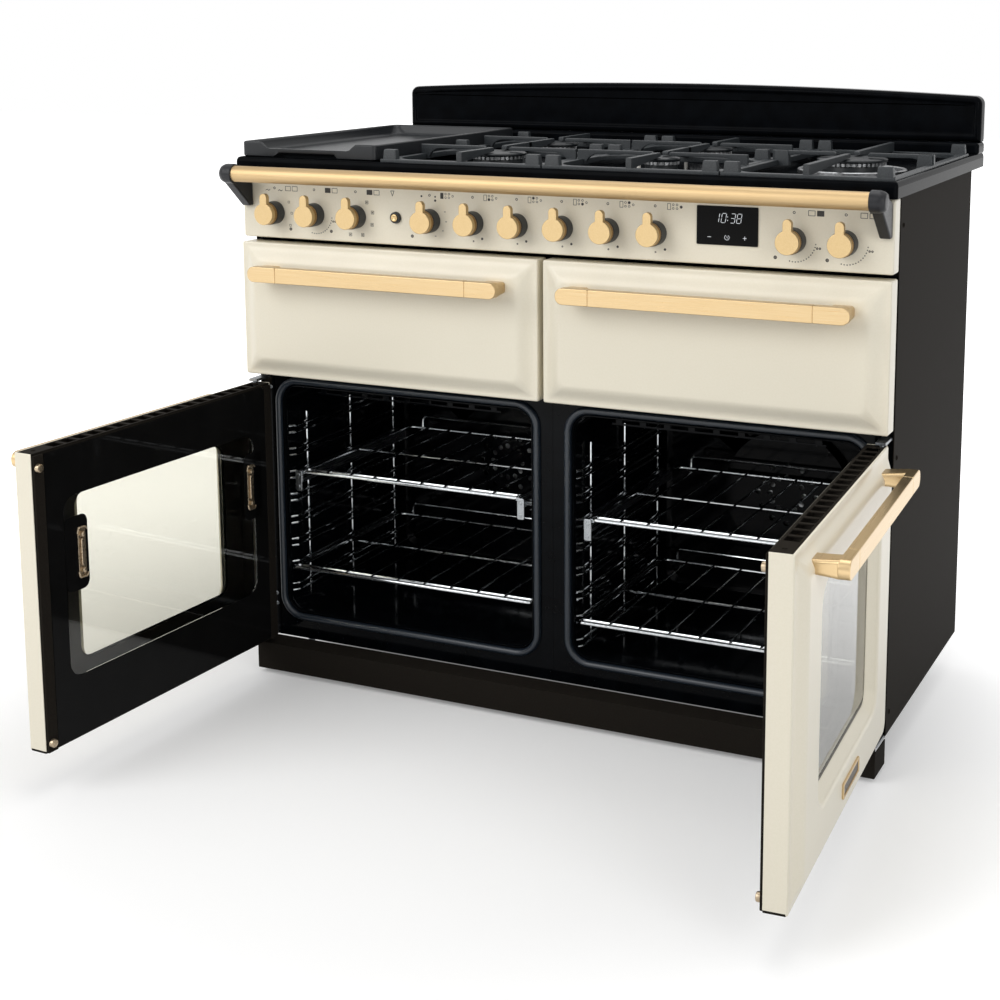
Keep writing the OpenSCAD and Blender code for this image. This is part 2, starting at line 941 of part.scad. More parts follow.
// Buffer studs near the free edge and the two spring clips that hold the inner glass
module door_clips() {
    for (z = [78, 486])
        rod_y(stud_x, door_in_y + 0.1, door_in_y + 6, z, stud_r);
    for (x = clip_x) {
        block([x - 6, x + 6], [door_in_y + 0.1, door_in_y + 3], [clip_z - 38, clip_z + 38]);
        for (s = [-1, 1])
            block([x - 13, x + 8], [door_in_y + 0.1, door_in_y + 5],
                [clip_z + s * 33 - 5, clip_z + s * 33 + 5]);
        rod_z(x, door_in_y + 4.5, clip_z - 28, clip_z + 28, 3);
    }
}

// Small blank plate with a raised rim, low on the right-hand door
module door_plate() {
    yprism(-field_h - 2.6, -field_h - 0.1)
        translate([door_mid + 6, 121])
            difference() {
                round_rect(95, 22, 3);
                round_rect(87, 14, 1.5);
            }
    yprism(-field_h - 1.2, -field_h - 0.1)
        translate([door_mid + 6, 121])
            round_rect(88, 15, 1.5);
}

module left_door_skin() {
    color(cream)
        swung(-1)
            door_skin();
}

module left_door_panes() {
    color("#11161A")
        swung(-1)
            door_panes();
}

module left_door_frame() {
    color(enamel)
        swung(-1)
            door_frame();
}

module left_door_handle() {
    color(brass)
        swung(-1)
            bar_handle(door_z1 - 29, door_z0, door_z1);
}

module left_door_clips() {
    color(chrome)
        swung(-1)
            door_clips();
}

module right_door_skin() {
    color(cream)
        swung(1)
            door_skin();
}

module right_door_panes() {
    color("#11161A")
        swung(1)
            door_panes();
}

module right_door_frame() {
    color(enamel)
        swung(1)
            door_frame();
}

module right_door_handle() {
    color(brass)
        swung(1) {
            bar_handle(door_z1 - 29, door_z0, door_z1);
            door_plate();
        }
}

module right_door_clips() {
    color(chrome)
        swung(1)
            door_clips();
}

module grill_door_skin() {
    arm = front_w / 2 - 9;
    color(cream)
        mirror([1, 0, 0])
            difference() {
                pressed_front(upper_z0, upper_z1);
                // slots in the bottom fold for the two hinge arms
                for (s = [-1, 1])
                    translate([door_mid, 0, 0])
                        sided(s)
                            block([arm - 3, arm + 6.6], [2.5, front_t + 1], [upper_z0 - 1, upper_z0 + 4]);
            }
}

module grill_door_liner() {
    arm = front_w / 2 - 9;
    color(enamel)
        translate([-door_mid, 0, 0])
            difference() {
                union() {
                    block([-arm + 2, arm - 2], [front_t - 3, front_t], [upper_z0 + 3, upper_z1 - 3]);
                    for (s = [-1, 1])
                        sided(s)
                            block([arm - 12, arm - 1.5], [flap_y - 7, front_t - 2],
                                [flap_z - 8, flap_z + 8]);
                }
                for (s = [-1, 1])
                    sided(s)
                        rod_x(arm - 13, arm, flap_y, flap_z, pin_r + pin_fit);
            }
}

module grill_door_handle() {
    color(brass)
        mirror([1, 0, 0])
            bar_handle(upper_z1 - 45, upper_z0, upper_z1);
}

module drawer_front() {
    color(cream)
        pressed_front(upper_z0, upper_z1);
}

module drawer_handle() {
    color(brass)
        bar_handle(upper_z1 - 45, upper_z0, upper_z1);
}

// Open-topped warming drawer with its moving runners
module drawer_box() {
    color(iron) {
        difference() {
            block([44, 494], [front_t - 4, 424], [upper_z0 + 26, upper_z1 - 40]);
            block([46, 492], [front_t - 2, 422], [upper_z0 + 28, upper_z1 - 39]);
        }
        block([8, 541], [front_t - 6, front_t - 4], [upper_z0 + 4, upper_z1 - 4]);
        for (x = [31, 494])
            block([x, x + 13], [60, 420], [upper_z0 + 50, upper_z0 + 66]);
    }
}

// ---------- shelves ----------

// Wire shelf: side and end wires, a double front bar, cross wires and end upstands
module wire_shelf(z, half) {
    wires = 8;
    translate([oven_x, 0, z]) {
        for (s = [-1, 1])
            rod_y(s * half, shelf_y0, shelf_y1, 0, wire_r);
        for (y = [shelf_y0, shelf_y1])
            rod_x(-half, half, y, 0, wire_r);
        rod_x(-half, half, shelf_y0 + 14, 0, wire_r - 0.6);
        rod_x(-half, half, (shelf_y0 + shelf_y1) / 2, -2, wire_r - 0.6);
        for (s = [-1, 1], y = [shelf_y0, shelf_y1])
            translate([s * half, y, 0])
                sphere(wire_r);
        for (i = [1:wires])
            rod_y(-half + 2 * half * i / (wires + 1), shelf_y0, shelf_y1, 1.5, thin_r);
        for (s = [-1, 1]) {
            rod_z(s * (half - 30), shelf_y1, 0, 22, thin_r + 0.4);
            rod_z(s * 30, shelf_y1, 0, 22, thin_r + 0.4);
        }
        rod_x(-half + 30, half - 30, shelf_y1, 22, thin_r + 0.4);
    }
}

// Moving half of the telescopic runners, with a plate at each front end
module moving_slides(z) {
    translate([oven_x, 0, z])
        for (s = [-1, 1])
            sided(s) {
                block([204, 208], [shelf_y0, 396], [-20, -3.1]);
                block([207, 221], [70, 396], [-16, -10]);
                block([204, 216.5], [shelf_y0 - 3, shelf_y0], [-34, 1]);
                block([200, 208], [shelf_y0, shelf_y0 + 20], [-5, 1.2]);
            }
}

module right_upper_shelf() {
    color(chrome) {
        wire_shelf(right_high_z, 202);
        moving_slides(right_high_z);
    }
}

module left_upper_shelf() {
    color(chrome)
        mirror([1, 0, 0]) {
            wire_shelf(left_high_z, 202);
            moving_slides(left_high_z);
        }
}

module right_lower_shelf() {
    color(chrome)
        wire_shelf(right_low_z, shelf_x);
}

module left_lower_shelf() {
    color(chrome)
        mirror([1, 0, 0])
            wire_shelf(left_low_z, shelf_x);
}

side_panels();
back_and_base();
front_frame();
left_oven_cavity();
right_oven_cavity();
upper_compartments();
oven_seals();
shelf_ladders();
fan_covers();
left_oven_fan();
right_oven_fan();
hob_tray();
back_guard();
burners();
griddle_plate();
left_pan_support();
centre_pan_support();
right_pan_support();
control_panel();
display_panel();
knob_bezels();
handrail();
handrail_brackets();
plinth();
feet_and_brackets();
rear_rollers();
hinge_brackets();
gas_and_mains_inlets();
left_door_skin();
left_door_panes();
left_door_frame();
left_door_handle();
left_door_clips();
right_door_skin();
right_door_panes();
right_door_frame();
right_door_handle();
right_door_clips();
grill_door_skin();
grill_door_liner();
grill_door_handle();
drawer_front();
drawer_box();
drawer_handle();
left_upper_shelf();
left_lower_shelf();
right_upper_shelf();
right_lower_shelf();
light_button();
left_selector_knob();
left_thermostat_knob();
grill_knob();
gas_knob_1();
gas_knob_2();
gas_knob_3();
gas_knob_4();
gas_knob_5();
gas_knob_6();
right_selector_knob();
right_thermostat_knob();
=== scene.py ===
import bmesh
import bpy
import numpy as np
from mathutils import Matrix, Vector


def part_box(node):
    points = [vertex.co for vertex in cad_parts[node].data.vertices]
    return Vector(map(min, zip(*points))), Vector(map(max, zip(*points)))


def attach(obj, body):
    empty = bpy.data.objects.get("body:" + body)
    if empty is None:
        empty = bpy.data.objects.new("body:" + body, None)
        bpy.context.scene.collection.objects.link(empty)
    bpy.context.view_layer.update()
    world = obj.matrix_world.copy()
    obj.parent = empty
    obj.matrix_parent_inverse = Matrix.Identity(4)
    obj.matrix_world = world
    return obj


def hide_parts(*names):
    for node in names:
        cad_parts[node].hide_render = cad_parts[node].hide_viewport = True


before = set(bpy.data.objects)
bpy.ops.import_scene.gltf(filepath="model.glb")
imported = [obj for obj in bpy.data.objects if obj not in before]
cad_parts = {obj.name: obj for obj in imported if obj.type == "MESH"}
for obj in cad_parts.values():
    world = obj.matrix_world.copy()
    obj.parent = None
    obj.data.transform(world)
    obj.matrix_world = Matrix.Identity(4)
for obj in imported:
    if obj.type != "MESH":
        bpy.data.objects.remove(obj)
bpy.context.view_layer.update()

# ---------------------------------------------------------------------------
# Camera and studio. The cooker stands on a seamless white floor under a large
# softbox at the upper left, with weaker panels above and to the right.
# ---------------------------------------------------------------------------
scene = bpy.context.scene
camera = bpy.data.cameras.new("camera")
camera.lens = 61.3
camera.sensor_width = 36
camera.shift_x = -0.085
camera.shift_y = -0.2
view_turn = np.radians(24.16)
view_dip = np.radians(9.31)
eye = bpy.data.objects.new("camera", camera)
eye.location = (1.1146, -2.3163, 1.1052)
eye.rotation_euler = (np.pi / 2 - view_dip, 0, view_turn)
scene.collection.objects.link(eye)
scene.camera = eye
scene.view_settings.view_transform = "Standard"


def linear(hex_colour):
    """Linear RGBA of an sRGB hex colour, by the sRGB transfer curve."""
    c = np.array([int(hex_colour[i:i + 2], 16) for i in (1, 3, 5)]) / 255
    c = np.where(c <= 0.04045, c / 12.92, ((c + 0.055) / 1.055) ** 2.4)
    return (*c.tolist(), 1.0)


def add(tree, kind, sockets=(), **settings):
    """One shader node with its settings; each socket gets a value or a link from an output."""
    node = tree.nodes.new("ShaderNode" + kind)
    for key, value in settings.items():
        setattr(node, key, value)
    for key, value in dict(sockets).items():
        if isinstance(value, bpy.types.NodeSocket):
            tree.links.new(value, node.inputs[key])
        else:
            node.inputs[key].default_value = value
    return node


def softbox(name, place, aim, width, height, watts):
    """A rectangular area lamp at place that faces aim."""
    lamp = bpy.data.lights.new(name, "AREA")
    lamp.shape = "RECTANGLE"
    lamp.size = width
    lamp.size_y = height
    lamp.energy = watts
    holder = bpy.data.objects.new(name, lamp)
    toward = np.array(aim) - np.array(place)
    holder.location = place
    holder.rotation_euler = (np.arctan2(np.hypot(*toward[:2]), -toward[2]), 0,
                             np.arctan2(toward[1], toward[0]) - np.pi / 2)
    scene.collection.objects.link(holder)


softbox("key_softbox", (-1.9, -2.9, 2.5), (0, 0, 0.5), 2.6, 2.6, 70)
softbox("top_panel", (0.2, 0.2, 3.2), (0, 0, 0.8), 2.4, 1.4, 20)
softbox("right_panel", (3.0, -2.0, 1.6), (0, 0, 0.5), 1.4, 2.0, 24)


def seen_ray(tree):
    """One for rays that show what they meet: the largest of camera, transmission and glossy ray."""
    ray = add(tree, "LightPath")
    largest = ray.outputs["Is Camera Ray"]
    for kind in ("Is Transmission Ray", "Is Glossy Ray"):
        largest = add(tree, "Math", {0: largest, 1: ray.outputs[kind]}, operation="MAXIMUM").outputs[0]
    return largest


# The surroundings are white where they are seen or mirrored; everything else is lit by a softer grey dome.
world = bpy.data.worlds.new("studio")
world.use_nodes = True
scene.world = world
sky = world.node_tree
sky.nodes.clear()
direction = add(sky, "TexCoord")
height = add(sky, "SeparateXYZ", {0: direction.outputs["Generated"]})
dome = add(sky, "ValToRGB", {0: height.outputs["Z"]})
for element, at, grey in zip(dome.color_ramp.elements, (0.0, 0.7), (0.5, 0.78)):
    element.position = at
    element.color = (grey, grey, grey, 1)
lit = add(sky, "Background", {"Color": dome.outputs[0], "Strength": 0.80})
white = add(sky, "Background", {"Color": (1, 1, 1, 1), "Strength": 1.0})
mixed = add(sky, "MixShader", {0: seen_ray(sky), 1: lit.outputs[0], 2: white.outputs[0]})
add(sky, "OutputWorld", {0: mixed.outputs[0]})


def material(name):
    """A new material and its empty node tree."""
    made = bpy.data.materials.new(name)
    made.use_nodes = True
    made.node_tree.nodes.clear()
    return made, made.node_tree


# White painted floor: plain diffuse to the lamps. Where it is seen, it also glows, faintly under the cooker
# and fully white 1.8 m away, so that it runs into the surroundings.
floor_paint, tree = material("white_floor_paint")
grain = add(tree, "TexNoise", {"Scale": 3.0})
tone = add(tree, "MapRange", {0: grain.outputs[0], 3: 0.80, 4: 0.82})
bounce = add(tree, "BsdfDiffuse", {"Color": (0.55, 0.55, 0.55, 1)})
matt = add(tree, "BsdfDiffuse", {"Color": tone.outputs[0]})
coords = add(tree, "TexCoord")
aside = add(tree, "VectorMath", {0: coords.outputs["Object"], 1: (-0.12, -0.25, 0)}, operation="SUBTRACT")
spread = add(tree, "VectorMath", {0: aside.outputs[0]}, operation="LENGTH")
fill = add(tree, "MapRange", {0: spread.outputs["Value"], 1: 0.45, 2: 1.8, 3: 0.17, 4: 1.0},
           interpolation_type="SMOOTHSTEP")
lift = add(tree, "Emission", {"Color": (1, 1, 1, 1), "Strength": fill.outputs[0]})
both = add(tree, "AddShader", {0: matt.outputs[0], 1: lift.outputs[0]})
shown = add(tree, "MixShader", {0: seen_ray(tree), 1: bounce.outputs[0], 2: both.outputs[0]})
add(tree, "OutputMaterial", {0: shown.outputs[0]})
floor_half = 14.0
floor_mesh = bpy.data.meshes.new("floor")
floor_corners = [(x * floor_half, y * floor_half, 0) for x, y in ((-1, -1), (1, -1), (1, 1), (-1, 1))]
floor_mesh.from_pydata(floor_corners, [], [(0, 1, 2, 3)])
floor_mesh.materials.append(floor_paint)
floor = bpy.data.objects.new("floor", floor_mesh)
scene.collection.objects.link(floor)


# ---------------------------------------------------------------------------
# Side panels, back, base and plinth: steel sheet, folded and painted satin
# black. The sides are held by small round-headed screws near the front edge,
# and the plinth hangs between the front feet.
# ---------------------------------------------------------------------------
def finish(name, low, high, grain_mm, rough, metallic=0.0, bump=0.0, shine=0.5, stretch=(1, 1, 1), turn=0.0,
           detail=4.0):
    """A shader whose colour and roughness wander between two values on a noise grain_mm wide, turned about Z
    and stretched along the piece. The same noise raises the surface by bump mm; shine is its specular level."""
    made, tree = material(name)
    coords = add(tree, "TexCoord")
    turned = add(tree, "Mapping", {"Vector": coords.outputs["Object"], "Rotation": (0, 0, turn)})
    scaled = add(tree, "Mapping",
                 {"Vector": turned.outputs[0], "Scale": [1000 / (grain_mm * s) for s in stretch]})
    noise = add(tree, "TexNoise", {"Vector": scaled.outputs[0], "Scale": 1.0, "Detail": detail})
    colours = add(tree, "ValToRGB", {0: noise.outputs[0]})
    for element, place, colour in zip(colours.color_ramp.elements, (0.35, 0.65), (low, high)):
        element.position = place
        element.color = linear(colour)
    roughness = add(tree, "MapRange", {0: noise.outputs[0], 1: 0.3, 2: 0.7, 3: rough[0], 4: rough[1]})
    sockets = {"Base Color": colours.outputs[0], "Roughness": roughness.outputs[0], "Metallic": metallic,
               "IOR": 1.5, "Specular IOR Level": shine}
    if bump:
        lift = add(tree, "Bump", {"Height": noise.outputs[0], "Distance": bump / 1000, "Strength": 1.0})
        sockets["Normal"] = lift.outputs[0]
    shade = add(tree, "BsdfPrincipled", sockets)
    add(tree, "OutputMaterial", {0: shade.outputs[0]})
    return made


def ring(w, h, r, centre=(0, 0), n=9, m=0):
    """Rectangle w by h with round corners: four quarter circles of radius r, n points each, with m points
    on each straight side between them."""
    r = min(r, w / 2 - 0.01, h / 2 - 0.01)
    angle = np.arange(4)[:, None] * np.pi / 2 + np.linspace(0, np.pi / 2, n)
    sign = np.array([[1, 1], [-1, 1], [-1, -1], [1, -1]])
    arcs = np.stack([sign[:, :1] * (w / 2 - r) + r * np.cos(angle),
                     sign[:, 1:] * (h / 2 - r) + r * np.sin(angle)], -1)
    share = np.linspace(0, 1, m + 2)[None, 1:-1, None]
    sides = arcs[:, -1:] + (np.roll(arcs[:, :1], -1, 0) - arcs[:, -1:]) * share
    return np.concatenate([arcs, sides], 1).reshape(-1, 2) + np.array(centre)


def rounded(corners, radii, n=6, closed=True):
    """Polygon or path, flat or in space, with each corner replaced by the arc of its radius that touches both
    sides: the arc's middle lies on the corner's bisector, and its points turn from one side's normal to the
    other's."""
    p = np.array(corners, float)
    r = np.broadcast_to(np.asarray(radii, float), len(p))[:, None]
    back = np.roll(p, 1, 0) - p
    on = np.roll(p, -1, 0) - p
    back /= np.linalg.norm(back, axis=1, keepdims=True)
    on /= np.linalg.norm(on, axis=1, keepdims=True)
    half = 0.5 * np.arccos(np.clip((back * on).sum(1, keepdims=True), -0.999999, 0.999999))
    middle = p + (back + on) / np.linalg.norm(back + on, axis=1, keepdims=True) * r / np.sin(half)
    start = p + back * r / np.tan(half) - middle
    end = p + on * r / np.tan(half) - middle
    sweep = (np.pi - 2 * half)[:, None]
    t = np.linspace(0, 1, n)[None, :, None]
    blend = np.sin((1 - t) * sweep) * start[:, None] + np.sin(t * sweep) * end[:, None]
    arcs = middle[:, None] + blend / np.sin(sweep)
    if closed:
        return arcs.reshape(-1, p.shape[1])
    return np.concatenate([p[:1], arcs[1:-1].reshape(-1, p.shape[1]), p[-1:]])


def grow(outline, d):
    """Closed flat outline with each point moved outwards by d along its normal, mitred at the corners."""
    along = np.roll(outline, -1, 0) - outline
    side = np.stack([along[:, 1], -along[:, 0]], 1)
    side /= np.linalg.norm(side, axis=1, keepdims=True) + 1e-12
    area = (outline[:, 0] * np.roll(outline[:, 1], -1) - outline[:, 1] * np.roll(outline[:, 0], -1)).sum()
    mitre = side + np.roll(side, 1, 0)
    mitre /= np.maximum((mitre ** 2).sum(1, keepdims=True) / 2, 0.4)
    return outline + mitre * d * np.sign(area)


def skin(rings, ends=(True, True), loop=True, back_to_start=False):
    """Quads between each ring of points and the next, with one face over the first and the last ring."""
    rings = np.asarray(rings, float)
    m, n = rings.shape[:2]
    i = np.arange(m if back_to_start else m - 1)[:, None]
    j = np.arange(n if loop else n - 1)[None]
    i1 = (i + 1) % m
    j1 = (j + 1) % n
    quads = np.broadcast_arrays(i * n + j, i * n + j1, i1 * n + j1, i1 * n + j)
    faces = np.stack(quads, -1).reshape(-1, 4).tolist()
    if not back_to_start:
        faces += [list(range(n))[::-1]] * ends[0] + [list(range((m - 1) * n, m * n))] * ends[1]
    return rings.reshape(-1, 3), faces


def lay(flat, axis, along):
    """Points of a flat outline put into space at a distance along one axis, on the other two in order."""
    return np.insert(np.asarray(flat, float), axis, along, axis=-1)


def slab(outline, axis, low, high, edge=0.8, steps=3):
    """A flat outline carried along an axis, drawn in on a quarter circle of radius edge at both ends."""
    edge = max(edge, 0.001)
    a = np.linspace(0, np.pi / 2, steps + 1)
    inset = edge * (1 - np.sin(a))
    rise = edge * (1 - np.cos(a))
    insets = np.concatenate([inset, inset[::-1]])
    places = np.concatenate([low + rise, high - rise[::-1]])
    return skin([lay(grow(outline, -i), axis, s) for i, s in zip(insets, places)])


def bar(lo, hi, r=0.8, axis=0):
    """A block between two corners with all its edges rounded to r."""
    lo, hi = np.minimum(lo, hi).astype(float), np.maximum(lo, hi).astype(float)
    r = min(r, (hi - lo).min() / 2 - 0.01)
    rest = [i for i in range(3) if i != axis]
    w, h = (hi - lo)[rest]
    return slab(ring(w, h, r + 0.02, (lo + hi)[rest] / 2, n=3), axis, lo[axis], hi[axis], r)


def lathe(profile, centre, axis=2, n=40, teeth=0, depth=0.0):
    """A profile of (radius, distance along the axis) pairs turned about an axis through centre; with teeth,
    the radius drops by depth in every second half tooth."""
    angle = np.linspace(0, 2 * np.pi, max(n, teeth * 8), endpoint=False)
    radius, along = np.array(profile, float).T
    notch = depth * (np.sin(angle * teeth) > 0.2)
    rest = [i for i in range(3) if i != axis]
    rings = np.zeros((len(radius), len(angle), 3))
    reach = np.maximum(radius[:, None] - notch, 0.05)
    rings[..., rest[0]] = reach * np.cos(angle)
    rings[..., rest[1]] = reach * np.sin(angle)
    rings[..., axis] = along[:, None]
    return skin(rings + np.array(centre, float))


def tube(path, radius, n=8, closed=False):
    """A round wire: circles of the wire's radius square to the path, each turned on from the last without
    twist."""
    path = np.asarray(path, float)
    last = path[-1:] * 2 - path[-2:-1]
    ahead = np.roll(path, -1, 0) - path if closed else np.diff(path, axis=0, append=last)
    behind = np.roll(ahead, 1, 0) if closed else np.concatenate([ahead[:1], ahead[:-1]])
    line = sum(step / np.linalg.norm(step, axis=1, keepdims=True) for step in (ahead, behind))
    line /= np.linalg.norm(line, axis=1, keepdims=True)
    side = np.cross(line[0], (0.13, 0.31, 0.94) if abs(line[0][2]) < 0.8 else (1, 0, 0))
    sides = []
    for step in line:
        side = side - step * (side @ step)
        side /= np.linalg.norm(side)
        sides.append(side)
    u = np.array(sides)[:, None]
    v = np.cross(line, np.array(sides))[:, None]
    a = np.linspace(0, 2 * np.pi, n, endpoint=False)[None, :, None]
    return skin(path[:, None] + radius * (u * np.cos(a) + v * np.sin(a)), back_to_start=closed)


def make(name, parts, surface, body, slot, stands_for=(), place=None, crease=35, wall=0.0):
    """Joins parts, given in millimetres, into one piece that rides on a body. place moves the points;
    wall gives an open sheet its thickness; wide faces stay flat in the light beside their rounded edges."""
    counts = np.cumsum([0] + [len(p) for p, _ in parts])
    points = np.concatenate([p for p, _ in parts])
    faces = [[v + c for v in f] for (_, fs), c in zip(parts, counts.tolist()) for f in fs]
    if place:
        points = place(points)
    mesh = bpy.data.meshes.new(name)
    mesh.from_pydata((points / 1000).tolist(), [], faces)
    shape = bmesh.new()
    shape.from_mesh(mesh)
    bmesh.ops.remove_doubles(shape, verts=shape.verts, dist=2e-6)
    bmesh.ops.recalc_face_normals(shape, faces=shape.faces)
    shape.to_mesh(mesh)
    shape.free()
    mesh.materials.append(surface)
    mesh.shade_smooth()
    mesh.set_sharp_from_angle(angle=np.radians(crease))
    piece = bpy.data.objects.new(name, mesh)
    scene.collection.objects.link(piece)
    if wall:
        thick = piece.modifiers.new("sheet", "SOLIDIFY")
        thick.thickness = wall / 1000
        thick.offset = -1
    flat = piece.modifiers.new("flat_faces", "WEIGHTED_NORMAL")
    flat.keep_sharp = True
    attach(piece, body)
    if stands_for:
        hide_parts(*([stands_for] if isinstance(stands_for, str) else stands_for))
    return piece


def dress(surface, *nodes):
    """Gives CAD nodes whose shape is right their surface."""
    for node in nodes:
        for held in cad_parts[node].material_slots:
            held.material = surface


def pair(part):
    """The part and its mirror image across the cooker's middle plane."""
    points, faces = part
    return [part, (points * (-1, 1, 1), [f[::-1] for f in faces])]


def mm(node):
    """Lowest and highest corner of a CAD node in millimetres."""
    lo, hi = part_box(node)
    return np.array(lo) * 1000, np.array(hi) * 1000


# Satin black powder paint on steel with a fine orange-peel; its soft brownish sheen is painted into the base
# colour, as its own shine is all but nil.
satin_paint = finish("satin_black_paint", "#211E1B", "#272420", 2.0, rough=(0.42, 0.5), bump=0.012, detail=2.0,
                     shine=0.005)
# Zinc-plated steel: mottled grey, only seen under and behind the cooker.
zinc_plate = finish("zinc_plated_steel", "#7E8286", "#9EA2A5", 9.0, rough=(0.32, 0.45), metallic=1.0)

side_lo, side_hi = mm("side_panels")
half_w = side_hi[0]
panels = pair(bar((half_w - 1.6, side_lo[1], side_lo[2]), (half_w, side_hi[1], side_hi[2]), 0.7, axis=2))
panels += pair(bar((half_w - 14, side_hi[1] - 1.6, side_lo[2]), (half_w, side_hi[1], side_hi[2]), 0.7, axis=2))
make("side_sheets", panels, satin_paint, "cooker", "satin_black", "side_panels")

screw_head = np.array([(0.05, 1.9), (2.0, 1.7), (3.4, 0.9), (3.9, 0.0), (3.9, -0.5)])
screws = []
for z in (side_lo[2] + 32, side_lo[2] + 420, side_hi[2] - 42):
    screws += pair(lathe(screw_head + (0, half_w), (0, side_lo[1] + 18, z), axis=0, n=16))
make("side_screws", screws, satin_paint, "cooker", "satin_black")

kick_lo, kick_hi = mm("plinth")
kick = [bar((kick_lo[0], 0, kick_lo[2]), (kick_hi[0], 2, kick_hi[2]), 0.8),
        bar((kick_lo[0] + 1, 1, kick_hi[2] - 2), (kick_hi[0] - 1, 43, kick_hi[2]), 0.8),
        bar((kick_lo[0] + 1, 1, kick_lo[2]), (kick_hi[0] - 1, 26, kick_lo[2] + 2), 0.8)]
kick += pair(bar((kick_hi[0] - 2, 1, kick_lo[2]), (kick_hi[0], kick_hi[1], kick_hi[2] - 8), 0.8))
make("plinth_fold", kick, satin_paint, "cooker", "satin_black", "plinth")
dress(satin_paint, "back_and_base")
dress(zinc_plate, "feet_and_brackets", "hinge_brackets", "drawer_box")

# Moulded black nylon: dull, with a faint grain.
nylon = finish("moulded_black_nylon", "#1B1C1E", "#26282A", 1.5, rough=(0.5, 0.62), bump=0.01)
roller_lo, roller_hi = mm("rear_rollers")
axle_y = (roller_lo[1] + roller_hi[1]) / 2
tread = 18.0
wheel = [(0.05, 490), (8, 490), (9, 491), (15.5, 491), (16.6, 490), (17.6, 490.6), (tread, 492),
         (tread, 501), (17.6, 502.4), (16.6, 503), (15.5, 502), (9, 502), (8, 503), (0.05, 503)]
axle = [(0.05, 484), (3.4, 484), (4, 484.6), (4, 508.4), (3.4, 509), (0.05, 509)]
make("rear_roller_wheels", pair(lathe(wheel, (0, axle_y, tread), axis=0)) +
     pair(lathe(axle, (0, axle_y, tread), axis=0, n=20)), nylon, "rollers", "roller_plastic", "rear_rollers")


# ---------------------------------------------------------------------------
# Front frame and oven liners: pressed steel, vitreous enamelled glossy blue
# black. The liner's mouth is rolled over the frame, its walls carry shelf
# ladders, and a louvred strip runs across the roof behind the mouth.
# ---------------------------------------------------------------------------
# Vitreous enamel: a glass coat fired on steel, nearly black, with a faint ripple and pin-point specks.
vitreous = finish("black_vitreous_enamel", "#040507", "#07090C", 30.0, rough=(0.08, 0.12), bump=0.01,
                  detail=2.0, shine=0.06)
dress(vitreous, "front_frame", "upper_compartments", "fan_covers", "grill_door_liner")

oven_x = 269.0
mouth_w, mouth_h, mouth_r = 468.0, 398.0, 30.0
mouth_z = 301.0
frame_y = mm("front_frame")[0][1]
liner_back = mm("right_oven_cavity")[1][1] - 2
liner = [(0.5, frame_y - 0.3), (-0.6, frame_y - 0.8), (-1.2, frame_y + 0.6), (-1.2, frame_y + 5),
         (1, frame_y + 8), (4, frame_y + 11), (6, frame_y + 18), (6, liner_back - 26), (3, liner_back - 14),
         (-4, liner_back - 4), (-16, liner_back), (-60, liner_back + 0.4)]
louvre_pitch = 40.0
roof = mouth_z + mouth_h / 2
strip_y = frame_y + 10
sides = ((-1, "left"), (1, "right"))


def mouth(side, out, y, n=12):
    """Outline of an oven's mouth, grown by out, at depth y."""
    return lay(ring(mouth_w + 2 * out, mouth_h + 2 * out, mouth_r + out, (side * oven_x, mouth_z), n=n), 1, y)


for side, word in sides:
    make(f"{word}_oven_liner", [skin([mouth(side, out, y) for out, y in liner], ends=(False, True))], vitreous,
         "cooker", "black_enamel", f"{word}_oven_cavity", wall=1.5)
    x0 = side * oven_x
    vents = [bar((x0 - 172, strip_y, roof + low), (x0 + 172, strip_y + 2.5, roof + high), 0.6)
             for low, high in ((-1.2, 5), (-14, -11))]
    vents += [bar((x - 5.5, strip_y, roof - 12), (x + 5.5, strip_y + 2.5, roof), 0.6, axis=2)
              for x in x0 + np.arange(-4, 5) * louvre_pitch]
    vents += [bar((x - 15, strip_y + 1, roof - 6.2), (x + 15, strip_y + 12, roof - 5), 0.4)
              for x in x0 + np.arange(-3.5, 4) * louvre_pitch]
    make(f"{word}_roof_louvres", vents, vitreous, "cooker", "black_enamel")

seams = [bar((-0.7, frame_y - 0.3, 56), (0.7, frame_y + 0.5, 523), 0.25, axis=2)]
seams += pair(bar((520, frame_y - 2.0, 64), (532, frame_y + 0.5, 516), 0.8, axis=2))
make("frame_edge_strips", seams, vitreous, "cooker", "black_enamel")
rivets = []
for z in (112.0, 130.0, 494.0):
    rivets += pair(lathe([(0.05, frame_y - 3.8), (2.2, frame_y - 3.5), (3.2, frame_y - 2.6), (3.3, frame_y)],
                         (526, 0, z), axis=1, n=14))
make("frame_rivets", rivets, zinc_plate, "cooker", "zinc_steel")

# Moulded silicone rubber: slightly bluish, satin, catches one soft line of light along its crest.
silicone = finish("moulded_silicone_rubber", "#161D25", "#1E2731", 3.0, rough=(0.28, 0.36), bump=0.008)
turn = np.linspace(0, np.pi, 13)
bead = np.stack([8 + 6 * np.cos(turn), frame_y - 0.1 - 8.0 * np.sin(turn) ** 0.8], 1)
make("oven_seal_beads",
     [skin([mouth(side, out, y, 14) for out, y in bead], back_to_start=True) for side in (-1, 1)], silicone,
     "cooker", "seal_rubber", "oven_seals", crease=60)


# ---------------------------------------------------------------------------
# Side ladders and shelves: steel wire, resistance welded and chrome plated.
# The ladders hook into the liner's walls; the upper shelves stand on
# telescopic runners, the lower ones slide between two ladder wires.
# ---------------------------------------------------------------------------
# Chrome plate over drawn wire: bright, with faint drawing marks.
chrome = finish("chrome_plated_wire", "#B9BDC0", "#D5D8DA", 4.0, rough=(0.10, 0.2), metallic=1.0)
